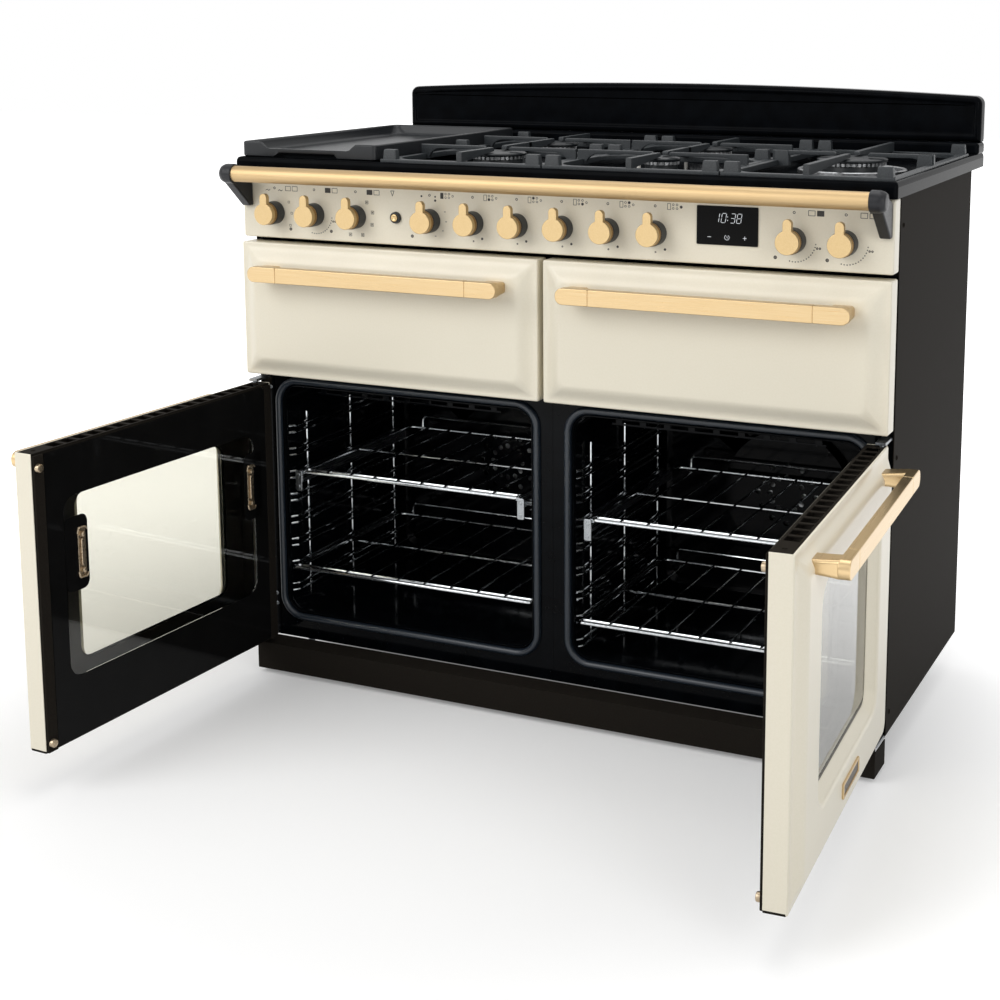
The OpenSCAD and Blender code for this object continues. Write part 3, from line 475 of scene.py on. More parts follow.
# Stainless sheet for the runners: a shade duller, rolled along its length.
runner_steel = finish("rolled_stainless_runner", "#8F9396", "#A9ADB0", 1.5, rough=(0.22, 0.34), metallic=1.0,
                      stretch=(1, 30, 1))
rung_x, wall_x, wire_r = 228.0, 236.0, 2.4
rung_y = (62.0, 410.0)
low_z = {-1: 178.0, 1: 158.0}
step_z = 40.0
lift_z = 4 * step_z + 12
shelf_y = (50.0, 408.0)
runner_y = (64, 400)
ladders, rails = [], []
for side, word in sides:
    x0, top = side * oven_x, low_z[side] + lift_z
    for s in (-1, 1):
        post_x, outer, inner = (x0 + s * x for x in (232.4, wall_x, rung_x))
        ladders += [tube([(post_x, y, 110), (post_x, y, 440)], wire_r) for y in (110, 250, 400)]
        bent = [(outer, rung_y[0] - 3), (inner, rung_y[0] + 8), (inner, rung_y[1] - 10), (outer, rung_y[1])]
        ladders += [tube(rounded([(*p, z + d) for p in bent], 6, closed=False), wire_r)
                    for z in low_z[side] + step_z * np.arange(-1, 7) for d in (-5.8, 5.8)]
        near, far = x0 + s * 218, x0 + s * 225
        rails += [bar((x, runner_y[0], top + low), (far, runner_y[1], top + high), 0.5, axis=1)
                  for x, low, high in ((far - s * 1.6, -22, -4), (near, -22, -20.5), (near, -5.5, -4))]
make("side_ladders", ladders, chrome, "cooker", "chrome_wire", "shelf_ladders")
make("fixed_runners", rails, runner_steel, "cooker", "chrome_wire")


def wire_shelf(x0, z, half):
    """Frame wire round three sides, a hairpin of two wires across the front, cross wires, and a low rear
    fence."""
    y0, y1 = shelf_y
    side = half - 1
    frame_wire = rounded([(-side, y0 + 12, 0), (-side, y1, 0), (side, y1, 0), (side, y0 + 12, 0)], 16,
                         closed=False)
    hairpin = lay(ring(2 * half + 2, 15, 7.4, (0, y0 + 7.4)), 2, 0)
    fence = rounded([(30 - half, y1, 0), (30 - half, y1, 22), (half - 30, y1, 22), (half - 30, y1, 0)], 8,
                    closed=False)
    wires = [tube(frame_wire, 3.0, 10), tube(hairpin, 2.7, 10, closed=True), tube(fence, 2.2)]
    wires.append(tube([(-half, (y0 + y1) / 2, -2.4), (half, (y0 + y1) / 2, -2.4)], 2.4))
    for x in np.linspace(-half, half, 10)[1:-1]:
        drop = rounded([(x, y0 + 1, 0.5), (x, y0 + 12, 2.6), (x, y1 - 8, 2.6), (x, y1, 1.5)], 6, closed=False)
        wires.append(tube(drop, 1.8, 6))
    return [(p + (x0, 0, z), f) for p, f in wires]


for side, word in sides:
    x0, low = side * oven_x, low_z[side]
    high = low + lift_z
    make(f"{word}_lower_wire_shelf", wire_shelf(x0, low, 226), chrome, f"{word}_lower_rack", "chrome_wire",
         f"{word}_lower_shelf")
    slides = []
    for s in (-1, 1):
        x = x0 + s * np.array([204, 208, 207, 221, 216.5, 200])
        lug_x, lug_z = (x[0] + x[4]) / 2, high - 16.5
        slides += [bar((x[0], 50, high - 20), (x[1], 396, high - 3.1), 1.2, axis=1),
                   bar((x[2], 70, high - 16), (x[3], 396, high - 10), 1.5, axis=1),
                   slab(ring(abs(x[4] - x[0]), 35, 2.5, (lug_x, lug_z), n=5), 1, 46.8, 49.6, 0.8),
                   bar((x[5], 50, high - 5), (x[1], 70, high + 1.2), 1.0, axis=1)]
        slides += [lathe([(0.05, 45.8), (2.6, 46), (3.2, 46.6), (3.2, 47.5)], (lug_x, 0, lug_z + d), axis=1,
                         n=14)
                   for d in (-10, 10)]
    make(f"{word}_upper_wire_shelf", wire_shelf(x0, high, 202), chrome, f"{word}_upper_rack", "chrome_wire",
         f"{word}_upper_shelf")
    make(f"{word}_moving_runners", slides, runner_steel, f"{word}_upper_rack", "chrome_wire")

# Rolled and stamped aluminised steel: plain grey blades.
blade_steel = finish("stamped_aluminised_steel", "#9A9C9D", "#B4B6B7", 5.0, rough=(0.3, 0.4), metallic=1.0)
dress(blade_steel, "left_oven_fan", "right_oven_fan")


# ---------------------------------------------------------------------------
# Pressed fronts: two oven door skins, the grill door and the drawer front.
# Each is one steel pressing with a raised field and a soft slope round it,
# enamelled in a warm cream; the doors also carry a window with a funnel edge.
# ---------------------------------------------------------------------------
# Cream stove enamel: an even warm white, softly glossy, with a very slight orange peel.
cream = finish("cream_stove_enamel", "#EEE7D3", "#F0E9D6", 3.0, rough=(0.28, 0.33), bump=0.002, detail=2.0)
half_gap = 4.4
front_w = half_w - half_gap
door_mid = half_gap + front_w / 2
front_t, field_h, slope_w = 31.0, 12.0, 33.0
corner_points = 10
swing_angle = np.radians(93)
pivot = (535.0, 8.0)


def at_left(p):
    """Points of a right-hand front mirrored to the left-hand one."""
    return p * (-1, 1, 1)


def swing(side):
    """Mirrors a closed right-hand door to its side and turns it about its hinge line to its open place."""
    def place(p):
        q = p * (side, 1, 1) - (side * pivot[0], pivot[1], 0)
        c, s = np.cos(swing_angle), side * np.sin(swing_angle)
        x, y, z = q.T
        return np.stack([x * c - y * s + side * pivot[0], x * s + y * c + pivot[1], z], 1)
    return place


def pressing(z0, z1, depth):
    """(inset, y, corner radius) stations from the folded edge over the smoothstep slope to the raised field."""
    fold = np.linspace(0, np.pi / 2, 5)
    t = np.linspace(0, 1, 13)
    rise = 3 * t ** 2 - 2 * t ** 3
    edge = [(0, depth, 3)] if depth > 3 else []
    edge += list(zip(2.6 * (1 - np.cos(fold)), 2.6 * (1 - np.sin(fold)), 3 + 0 * fold))
    edge += list(zip(5 + (slope_w - 5) * t, -field_h * rise, 3.5 + 12.5 * t))
    edge += [(slope_w + 4, -field_h, 18)]
    return [lay(ring(front_w - 2 * i, z1 - z0 - 2 * i, r, (door_mid, (z0 + z1) / 2), n=corner_points), 1, y)
            for i, y, r in edge]


upper_z = (524.0, 746.0)
stations = pressing(*upper_z, front_t)
# The grill door's bottom fold is notched where its two hinge arms pass: the notches' points go into the two
# outer stations where the bottom side begins, which is after three corners.
arm_x = front_w / 2 - 9
notch = np.array([-5.2, -4.9, 3, 3.3])
notch_x = door_mid + np.concatenate([notch - arm_x, arm_x - notch[::-1]])
notch_y = np.array([front_t, 2.7, 2.7, front_t] * 2)
folds = [np.insert(station, 3 * corner_points, np.stack([notch_x, y, 0 * y + upper_z[0]], 1), axis=0)
         for station, y in zip(stations, (notch_y, 0 * notch_y + stations[1][0, 1]))]
make("grill_door_pressing", [skin(folds, ends=(False, False)), skin(stations[1:], ends=(False, True))], cream,
     "grill_door", "cream_enamel", "grill_door_skin", place=at_left, wall=1.2)
make("drawer_pressing", [skin(stations, ends=(False, True))], cream, "drawer", "cream_enamel", "drawer_front",
     wall=1.2)

door_z = (63.0, 507.0)
window_z = 295.0
crest = np.linspace(0, np.pi / 2, 6)
funnel = [(8 - 8 * np.sin(a), -field_h + 5 * (1 - np.cos(a)), 38 - 8 * np.sin(a)) for a in crest]
funnel += [(-10, 2.0, 21), (-12, 3.3, 20)]
window_w, window_h = 344.0, 286.0


def window(out, y, r, n=10):
    """Outline of the opening in the oven door's skin, grown by out, at depth y."""
    return lay(ring(window_w + 2 * out, window_h + 2 * out, r, (door_mid, window_z), n=n), 1, y)


def on_both_doors(name, parts, surface, slot, node="", **more):
    """Makes a piece of each oven door from parts of the closed right-hand one; node is a CAD node's name
    without its side."""
    for side, word in sides:
        make(f"{word}_door_{name}", parts, surface, f"{word}_door", slot, node and f"{word}_door_{node}",
             place=swing(side), **more)


door_sheet = skin(pressing(*door_z, 3) + [window(out, y, r) for out, y, r in funnel], ends=(False, False))
on_both_doors("pressing", [door_sheet], cream, "cream_enamel", "skin", wall=1.2)
returns = [bar((x, 1.4, door_z[0] + 3.6), (x + 1.4, front_t, door_z[1]), 0.5, axis=2)
           for x in (half_gap, half_w - 1.4)]
on_both_doors("returns", returns, cream, "cream_enamel")


# ---------------------------------------------------------------------------
# Oven door glass: an outer pane behind the window and a full-height inner
# pane, both float glass with a black enamel print fired round the clear part,
# held apart by a folded dark spacer.
# ---------------------------------------------------------------------------
# Black ceramic print under glass: mirror smooth; its deep black is lifted a little, a painted reflection of the
# surroundings in the glass.
black_print_with_painted_reflection = finish("black_print_under_glass", "#101010", "#131313", 60.0, rough=(0.02, 0.05),
                     shine=0.05)
# Float glass, 4 mm: clear with a faint grey-green cast.
clear_glass, tree = material("clear_float_glass")
coords = add(tree, "TexCoord")
haze = add(tree, "TexNoise", {"Vector": coords.outputs["Object"], "Scale": 8.0})
smear = add(tree, "MapRange", {0: haze.outputs[0], 3: 0.0, 4: 0.01})
pane_shade = add(tree, "BsdfPrincipled", {"Base Color": linear("#EAE9E2"), "Roughness": smear.outputs[0],
                                          "Transmission Weight": 1.0, "IOR": 1.45})
add(tree, "OutputMaterial", {0: pane_shade.outputs[0]})
# Satin black spacer between the panes: folded steel, seen only through the glass.
spacer_paint = finish("satin_dark_spacer", "#1D1B19", "#24211E", 12.0, rough=(0.3, 0.4), metallic=0.4)
inner_left, inner_right = 25.6, 523.8
clear_w, clear_h, inner_w, inner_h = 334.0, 252.0, 435.0, 272.0
clip_x, clip_z = (90, 480), 343


def clear_part(w, h, r, y):
    """Outline of a pane's clear middle at depth y."""
    return lay(ring(w, h, r, (door_mid, window_z), n=10), 1, y)


def printed_border(outer, inner, y0, y1):
    """A flat ring of black print between an outer outline and the clear part (width, height, radius), y0 to y1
    deep."""
    return skin([lay(outer, 1, y0), lay(outer, 1, y1), clear_part(*inner, y1), clear_part(*inner, y0)],
                back_to_start=True)


door_height, door_centre = door_z[1] - door_z[0], (door_mid, (door_z[0] + door_z[1]) / 2)
whole = ring(inner_right - inner_left, door_height - 8, 4, door_centre, n=10)
behind = ring(window_w + 16, window_h + 16, 30, (door_mid, window_z), n=10)
borders = [printed_border(whole, (inner_w, inner_h, 24), front_t + 0.2, 35),
           printed_border(behind, (clear_w, clear_h, 20), 3.6, 6.4)]
# The print reaches inwards behind each spring clip.
borders += [slab(ring(46, 112, 12, (x, clip_z), n=6), 1, 34.65, 35, 0.05) for x in (81, 488)]
on_both_doors("print", borders, black_print_with_painted_reflection, "door_glass", "panes")
panes = [slab(clear_part(w - 0.2, h - 0.2, r, 0)[:, ::2], 1, y0, y1, 0.1) for w, h, r, y0, y1 in
         ((inner_w, inner_h, 23.9, front_t + 0.6, 34.6), (clear_w, clear_h, 19.9, 4.0, 6.2))]
on_both_doors("clear_panes", panes, clear_glass, "door_glass", crease=10)
flange = [clear_part(clear_w + 2 * out, clear_h + 2 * out, 20 + min(out, 12), y)
          for out, y in ((3, 7.0), (46, 7.0), (46, 30.4), (44, 30.4), (44, 9.0), (3, 9.0))]
on_both_doors("spacer", [skin(flange, back_to_start=True)], spacer_paint, "door_glass")


# ---------------------------------------------------------------------------
# Oven door frame: folded black steel between skin and glass, with a slotted
# vent cap on top, a screw at each end of it, and a bottom bar. Buffer studs
# and spring clips for the inner glass are screwed on from inside.
# ---------------------------------------------------------------------------
# Dulled nickel plate: warm grey, with a soft gleam.
dull_nickel = finish("dulled_nickel_plate", "#A3927B", "#B9A88F", 4.0, rough=(0.24, 0.36), metallic=0.9)
x0, x1 = half_gap + 2.2, half_w - 2.2
low, top = door_z
cap = [bar(lo, hi, r, axis) for lo, hi, r, axis in (
    ((x0, 3.2, top - 2), (x1, 7.2, top), 0.7, 0), ((x0, 27, top - 2), (x1, front_t, top), 0.7, 0),
    ((x0, 3.2, top - 17), (x1, 4.6, top), 0.6, 0), ((x0, 29.6, top - 17), (x1, front_t, top), 0.6, 0),
    ((x0 + 8, 4, top - 16.5), (x1 - 8, 30, top - 15.2), 0.6, 0),
    ((half_gap + 0.3, 2.2, low), (half_w - 0.3, front_t, low + 12), 1.0, 0),
    ((x0, 14, low), (x0 + 6, front_t, top - 1), 0.8, 2), ((x1 - 6, 14, low), (x1, front_t, top - 1), 0.8, 2),
    ((x0, front_t - 1, low + 1), (inner_left - 0.4, 35, top - 3), 0.8, 2),
    ((inner_right + 0.4, front_t - 1, low + 1), (x1, 35, top - 3), 0.8, 2))]
slot_x = 54 + 26.6 * np.arange(18)
cap += [bar((a, 6.5, top - 2), (b, 27.7, top), 0.6) for a, b in zip([x0, *(slot_x + 20)], [*slot_x, x1])]
cap += [lathe([(0.05, 1.4), (2.6, 1.2), (3.4, 0.5), (3.5, -1)], (x, 17, top), n=14) for x in (24, 526)]
on_both_doors("black_frame", cap, satin_paint, "black_enamel", "frame")
stud = [(0.05, 41), (4.6, 41), (5.8, 40.4), (6.4, 39), (6.4, 35.1)]
on_both_doors("studs", [lathe(stud, (13.5, 0, z), axis=1, n=24) for z in (78, 486)], dull_nickel, "chrome_wire")
springs = []
for x in clip_x:
    springs += [slab(ring(15, 76, 3, (x, clip_z), n=4), 1, 35.1, 36.8, 0.5),
                slab(ring(7, 42, 3.4, (x, clip_z), n=6), 1, 36.6, 39.4, 1.2)]
    for d in (-1, 1):
        hook = [(x - 8, 36.4, clip_z + d * 29), (x - 8, 38.6, clip_z + d * 37), (x + 5, 39.4, clip_z + d * 37),
                (x + 9, 38.2, clip_z + d * 33)]
        springs += [tube(rounded(hook, 2.5, n=5, closed=False), 1.3),
                    lathe([(0.05, 41.6), (2.6, 41.4), (3.9, 40.6), (4.2, 39.6), (4.2, 36.7)],
                          (x, 0, clip_z + d * 27), axis=1, n=20)]
on_both_doors("clip_springs", springs, dull_nickel, "chrome_wire", "clips")


# ---------------------------------------------------------------------------
# Bar handles: a solid brass bar with a round-ended cap joined on at each end,
# carried by two tapered posts; all brushed lengthways and lacquered. A blank
# rimmed plate is fixed low on the right-hand door.
# ---------------------------------------------------------------------------
def brushed_brass(name, turn=0.0):
    """Brass brushed along X after the turn; the lines are drawn 0.7 mm wide, coarser than real ones, to
    show."""
    return finish(name, "#C4A97E", "#CCB48C", 0.7, rough=(0.26, 0.38), metallic=1.0, bump=0.006,
                  stretch=(90, 1, 1), turn=turn, detail=3.0)


brass = {0: brushed_brass("brushed_brass"), -1: brushed_brass("brushed_brass_left_door", swing_angle),
         1: brushed_brass("brushed_brass_right_door", -swing_angle)}
grip_l, grip_h, grip_y0, grip_y1, joint = 450.0, 25.0, -54.0, -39.0, 53.0
upper_grip_z, door_grip_z = 701, 478


def bar_handle(z):
    """Bar and end caps as plates with rounded edges, a thin dark gap between them, and tapered posts behind."""
    half = grip_l / 2
    parts = [slab(ring(2 * (half - joint) - 0.8, grip_h, 1.3, (door_mid, z), n=3), 1, grip_y0, grip_y1, 1.2),
             slab(ring(2 * (half - 4), grip_h - 2, 10, (door_mid, z)), 1, grip_y0 + 1, grip_y1 - 1, 1)]
    for s in (-1, 1):
        inner, outer = half - joint, half
        cap = rounded([(inner, -grip_h / 2), (outer, -grip_h / 2), (outer, grip_h / 2), (inner, grip_h / 2)],
                      [1.3, 11.5, 11.5, 1.3], n=10) * (s, 1) + (door_mid, z)
        parts.append(slab(cap, 1, grip_y0, grip_y1, 1.2))
        parts.append(skin([lay(ring(w, h, 5, (door_mid + s * x, z), n=6), 1, y) for w, h, x, y in (
            (30, 24, half - 18, grip_y1 - 1), (31, 22, half - 19, grip_y1 + 8),
            (34, 18.5, half - 21, -field_h + 1.5), (36, 17, half - 23, -field_h + 11))]))
    return parts


upper_grip = bar_handle(upper_grip_z)
make("grill_door_bar_handle", upper_grip, brass[0], "grill_door", "satin_brass", "grill_door_handle",
     place=at_left)
make("drawer_bar_handle", upper_grip, brass[0], "drawer", "satin_brass", "drawer_handle")
for side, word in sides:
    make(f"{word}_door_bar_handle", bar_handle(door_grip_z), brass[side], f"{word}_door", "satin_brass",
         f"{word}_door_handle", place=swing(side))
plate_x, plate_z = door_mid + 6, 121.0
rim = [lay(ring(w, h, r, (plate_x, plate_z), n=5), 1, y) for w, h, r, y in
       ((95, 22, 3, -field_h), (95, 22, 3, -field_h - 2), (93.6, 20.6, 2.4, -field_h - 2.6),
        (88.6, 15.6, 1.4, -field_h - 2.6), (88, 15, 1.2, -field_h - 1))]
make("door_plate_rim", [skin(rim, ends=(True, False))], brass[1], "right_door", "satin_brass", place=swing(1))
# Dark bronze varnish: a deep brown, softly mottled.
bronze = finish("dark_bronze_varnish", "#2E241D", "#3A2E25", 2.5, rough=(0.3, 0.42), metallic=0.4)
make("door_plate_field",
     [slab(ring(88.4, 15.4, 1.2, (plate_x, plate_z), n=5), 1, -field_h - 1.4, -field_h - 0.2, 0.2)], bronze,
     "right_door", "satin_brass", place=swing(1))


# ---------------------------------------------------------------------------
# Control panel: a folded steel fascia in the same cream enamel, screen
# printed in dark grey. Its gas symbols, scales and oven symbols are generic.
# ---------------------------------------------------------------------------
fascia_lo, fascia_hi = mm("control_panel")
face_y = fascia_lo[1]
face_mid = (0, (fascia_lo[2] + fascia_hi[2]) / 2)
fascia = [lay(ring(2 * half_w - 2 * i, fascia_hi[2] - fascia_lo[2] - 2 * i, 3.2, face_mid, n=7), 1, y)
          for i, y in ((0, face_y + 27), (0, face_y + 3), (0.3, face_y + 1.6), (1.0, face_y + 0.7),
                       (2.2, face_y + 0.1), (3.4, face_y))]
make("control_fascia", [skin(fascia, ends=(False, True))], cream, "cooker", "cream_enamel", "control_panel",
     wall=1.5)

# Screen print: dark warm grey ink, matt.
ink = finish("dark_grey_screen_print", "#2C2925", "#36332E", 3.0, rough=(0.5, 0.6))
# The same ink printed as a half-tone, so it reads lighter.
pale_ink = finish("half_tone_screen_print", "#6E6A61", "#7B776D", 3.0, rough=(0.5, 0.6))
print_y = face_y - 0.12
film, frame_film = 0.15, 0.1
knob_nodes = ["left_selector_knob", "left_thermostat_knob", "grill_knob",
              *(f"gas_knob_{i}" for i in range(1, 7)), "right_selector_knob", "right_thermostat_knob"]
knob_x = [(mm(node)[0][0] + mm(node)[1][0]) / 2 for node in knob_nodes]
knob_z = 796.0


def ink_patch(x, z, w, h, r=0.3, n=2):
    """A printed rectangle with corners of radius r."""
    return slab(ring(w, h, r, (x, z), n=n), 1, print_y, print_y + film, 0)


def ink_dot(x, z, r):
    """A printed disc."""
    return ink_patch(x, z, 2 * r, 2 * r, r, n=5)


def ink_frame(x, z, w, h, line, r=0.4):
    """A printed outline of a rectangle, or of a circle where r is half its width."""
    out, inn = (ring(w - 2 * i, h - 2 * i, max(r - i, 0.05), (x, z), n=6) for i in (0, line))
    back = print_y + frame_film
    return skin([lay(o, 1, y) for o, y in ((out, back), (out, print_y), (inn, print_y), (inn, back))],
                back_to_start=True)


def ink_line(points, width=0.8):
    """A printed stroke along (x, z) points, in straight pieces with rounded ends."""
    drawn = []
    for (xa, za), (xb, zb) in zip(points[:-1], points[1:]):
        length = np.hypot(xb - xa, zb - za)
        along = np.array([xb - xa, zb - za]) / length
        flat = ring(length + width, width, width / 2, n=4)
        turned = flat @ np.array([along, (-along[1], along[0])]) + ((xa + xb) / 2, (za + zb) / 2)
        drawn.append(slab(turned, 1, print_y, print_y + film, 0))
    return drawn


marks, pale_marks = [], []
stop_gap = {1: 46.5, 2: 47.0, 3: 32.0, 9: 27.0, 10: 26.0}
oven_sign = {1: 0, 2: 0, 9: 1}
burner_spots = ((28.5, 37.5), (28.5, 43), (34.5, 37.5), (34.5, 43), (41, 40))
sign_z = knob_z + 40
for i, x in enumerate(knob_x):
    marks.append(ink_frame(x, sign_z, 4.2, 4.2, 1.0, 2.1))
    if i in stop_gap:
        marks.append(ink_frame(x - stop_gap[i], knob_z - 26, 5.2, 5.2, 1.4, 2.6))
        pale_marks.append(ink_dot(x - stop_gap[i], knob_z - 26, 1.1))
    if 3 <= i <= 8:
        marks.append(ink_frame(x + 22, sign_z, 5.6, 9.5, 0.7))
        if i == 3:
            marks.append(ink_patch(x + 22, sign_z, 5.2, 9))
            for d, e in ((27, 15), (29, -0.5), (23, -15), (10, -24)):
                pale_marks += ink_line([(x + d - 1, knob_z + e), (x + d + 1, knob_z + e)], 1.2)
            marks += [ink_dot(x + d, knob_z + e, r)
                      for d, e, r in ((-14.5, 38, 1.7), (10, 38, 1.5), (10, 32, 1.9))]
        else:
            marks.append(ink_dot(x + 16, knob_z - 24, 1.9))
            pale_marks.append(ink_dot(x + 1, knob_z - 28.5, 1.5))
        marks += [ink_dot(x + d, knob_z + e, 2.2) if k == i - 4 else
                  ink_frame(x + d, knob_z + e, 3.6, 3.6, 0.7, 1.8) for k, (d, e) in enumerate(burner_spots)]
        continue
    for k in (0, 1):
        sign_x = x + 26 + 13 * k
        marks.append(ink_frame(sign_x, sign_z, 10.5, 8, 0.8))
        if oven_sign.get(i) == k:
            marks.append(ink_patch(sign_x, sign_z, 10, 7.5))
    if i in (1, 9, 10):
        arc = np.radians(np.arange(-104, 0, 8.0))
        marks += [ink_dot(x + 2 + 31 * np.cos(a), knob_z + 31 * np.sin(a), 0.95) for a in arc]
        marks += [ink_frame(x + 35 + d, knob_z - 10, 3.4, 3.4, 1.2, 1.7) for d in (0, 4)]
    if i == 0:
        for d in (-13, 11):
            wave = ((-4, 36), (-1.5, 37.4), (1.5, 35.6), (4, 37))
            marks += ink_line([(x + d + across, knob_z + up) for across, up in wave], 1.0)
        pale_marks += [ink_frame(x + d, knob_z + e, 4, 4, 0.8) for d, e in ((27, 18), (32, 0), (29, -20))]
    if i == 2:
        for a in np.radians((50, 15, -22, -68, -110)):
            at = (x + 32 * np.cos(a), knob_z + 31 * np.sin(a))
            pale_marks += [ink_frame(*at, 5.6, 5.6, 0.9), ink_dot(*at, 1.4)]
button_x, button_z = -255.0, 798.0
marks += ink_line([(button_x + d, knob_z + e) for d, e in ((-9, 44), (-6, 36), (-3, 44), (-9, 44))], 0.9)
make("fascia_print", marks, ink, "cooker", "dark_bezel")
make("fascia_half_tone_print", pale_marks, pale_ink, "cooker", "dark_bezel")


# ---------------------------------------------------------------------------
# Display: a black glass plate let into the fascia, with a lit clock reading
# and three touch signs under it.
# ---------------------------------------------------------------------------
glass_lo, glass_hi = mm("display_panel")
glass_mid = np.array([(glass_lo[0] + glass_hi[0]) / 2, (glass_lo[2] + glass_hi[2]) / 2])
glass_size = glass_hi - glass_lo
# The display glass takes the same black print, with its painted reflection.
make("display_glass",
     [slab(ring(glass_size[0], glass_size[2], 1.5, glass_mid), 1, glass_lo[1], glass_hi[1], 0.4)], black_print_with_painted_reflection,
     "cooker", "display_glass", "display_panel")
# White light-emitting segments behind the glass: even, slightly cool white.
segment_light, tree = material("white_display_segments")
coords = add(tree, "TexCoord")
flicker = add(tree, "TexNoise", {"Vector": coords.outputs["Object"], "Scale": 400.0})
level = add(tree, "MapRange", {0: flicker.outputs[0], 3: 0.9, 4: 1.0})
glow = add(tree, "Emission", {"Color": linear("#F2F6FA"), "Strength": level.outputs[0]})
add(tree, "OutputMaterial", {0: glow.outputs[0]})

segments = {"a": ((0, 2), (1, 2)), "b": ((1, 2), (1, 1)), "c": ((1, 1), (1, 0)), "d": ((0, 0), (1, 0)),
            "e": ((0, 1), (0, 0)), "f": ((0, 2), (0, 1)), "g": ((0, 1), (1, 1))}
strokes_of = {"1": "bc", "0": "abcdef", "3": "abcdg", "8": "abcdefg"}


def stroke(points, r=0.55):
    """A lit line on the display: a thin tube through (x, z) points, seated in the glass face."""
    return tube(lay(points, 1, glass_lo[1] + 0.25), r, 6)


lit_parts = []
digit_w, digit_h = 6.6, 6.8
for sign, at in (("1", -20.0), ("0", -9.6), ("3", 4.4), ("8", 14.0)):
    for key in strokes_of[sign]:
        ends = np.array(segments[key], float)
        gap = (ends[1] - ends[0]) * 0.1
        ends = np.array([ends[0] + gap, ends[1] - gap]) * (digit_w, digit_h)
        ends[:, 0] += 0.16 * ends[:, 1]
        lit_parts.append(stroke(ends + glass_mid + (at, 4.5), 0.45))
lit_parts += [stroke([glass_mid + (0.6, 4.5 + d), glass_mid + (0.75, 5.4 + d)], 0.7) for d in (3.2, 8.2)]
touch_z = -17.0
for (xa, za), (xb, zb) in (((-30, 0), (-24.5, 0)), ((24.5, 0), (30, 0)), ((27.2, -2.8), (27.2, 2.8))):
    lit_parts.append(stroke([glass_mid + (xa, touch_z + za), glass_mid + (xb, touch_z + zb)], 0.45))
dial = np.linspace(0.5, 5.8, 25)
lit_parts += [stroke(glass_mid + (0, touch_z) + 3.6 * np.stack([np.sin(dial), np.cos(dial)], 1), 0.42),
              stroke([glass_mid + (x, touch_z + z) for x, z in ((0, 2.6), (0, 0), (1.7, -1))], 0.4)]
make("display_segments", lit_parts, segment_light, "cooker", "display_glass")


# ---------------------------------------------------------------------------
# Knobs: turned and milled brass, satin lacquered. A flat disc with a finger
# lever stands in front of a ridged grip; a dark collar behind it covers the
# shaft's hole. The oven light has a small push button in a dark ring.
# ---------------------------------------------------------------------------
# Satin brass, bead blasted then lacquered: soft, without a direction.
satin_brass = finish("satin_lacquered_brass", "#BFA578", "#C7AE83", 1.2, rough=(0.3, 0.38), metallic=1.0,
                     bump=0.006)
# The ridged grip behind each lever: the same brass, painted darker all over; the darker colour is painted shade
# standing in for the shadow between its ridges.
brass_darkened_for_knurl_shade = finish("brass_darkened_for_knurl_shade", "#8F7145", "#A5865A", 1.0, rough=(0.3, 0.42), metallic=1.0)
# Dark moulded collar: satin grey-black.
collar_plastic = finish("dark_moulded_collar", "#1B1E21", "#23272B", 1.2, rough=(0.38, 0.48), bump=0.006)
disc_r, lever_r, lever_z = 17.5, 6.5, 27.0
meet = np.arcsin(lever_r / disc_r)
round_disc = np.linspace(np.pi / 2 + meet, 5 * np.pi / 2 - meet, 44)
round_tip = np.linspace(0, np.pi, 14)
lever = np.concatenate([disc_r * np.stack([np.cos(round_disc), np.sin(round_disc)], 1),
                        np.stack([lever_r * np.cos(round_tip), lever_z + lever_r * np.sin(round_tip)], 1)])
front = mm("gas_knob_1")[0][1]
neck_end = mm("knob_bezels")[0][1]
collar_r = (mm("knob_bezels")[1][2] - mm("knob_bezels")[0][2]) / 2
neck = [(0.05, front + 8.6), (16.4, front + 8.6), (16.4, front + 9.4), (17.9, front + 9.8),
        (18.2, front + 10.6), (18.2, neck_end - 1.2), (17.6, neck_end - 0.4), (0.05, neck_end - 0.4)]
collar = [(5, face_y - 0.2), (collar_r, face_y - 0.2), (collar_r, neck_end + 1.2),
          (collar_r - 0.6, neck_end + 0.3), (collar_r - 1.4, neck_end), (5, neck_end)]
for x, node in zip(knob_x, knob_nodes):
    make(f"{node}_lever", [slab(lever + (x, knob_z), 1, front, front + 9, 0.9, 4)], satin_brass, f"{node}_body",
         "satin_brass", node)
    make(f"{node}_grip", [lathe(neck, (x, 0, knob_z), axis=1, teeth=44, depth=0.5)], brass_darkened_for_knurl_shade,
         f"{node}_body", "satin_brass", crease=50)
collars = [lathe(collar, (x, 0, knob_z), axis=1, n=56) for x in knob_x]
make("knob_collars", collars, collar_plastic, "cooker", "dark_bezel", "knob_bezels")
ring_profile = [(6.5, 6.4), (6.5, 1.6), (7.0, 1.0), (8.2, 1.2), (8.9, 2.4), (9.4, 6.4)]
make("button_ring", [lathe(ring_profile, (button_x, 0, button_z), axis=1, n=40)], collar_plastic, "cooker",
     "dark_bezel")
cap_profile = [(6.0, 18), (6.0, 0.2), (5.6, -0.6), (4.4, -1.0), (3.4, -0.4), (0.05, 0.2)]
make("light_push_button", [lathe(cap_profile, (button_x, 0, button_z), axis=1, n=40)], satin_brass,
     "light_switch", "button_plastic", "light_button")


# ---------------------------------------------------------------------------
# Handrail: brass tube, brushed lengthways and lacquered, held between two
# black cast brackets whose legs taper down to the fascia.
# ---------------------------------------------------------------------------
rail_y, rail_z, rail_r = -45.0, 862.0, 13.0
rail_end = 523.0
rail = [(0.05, -rail_end), (rail_r, -rail_end), (rail_r, rail_end), (0.05, rail_end)]
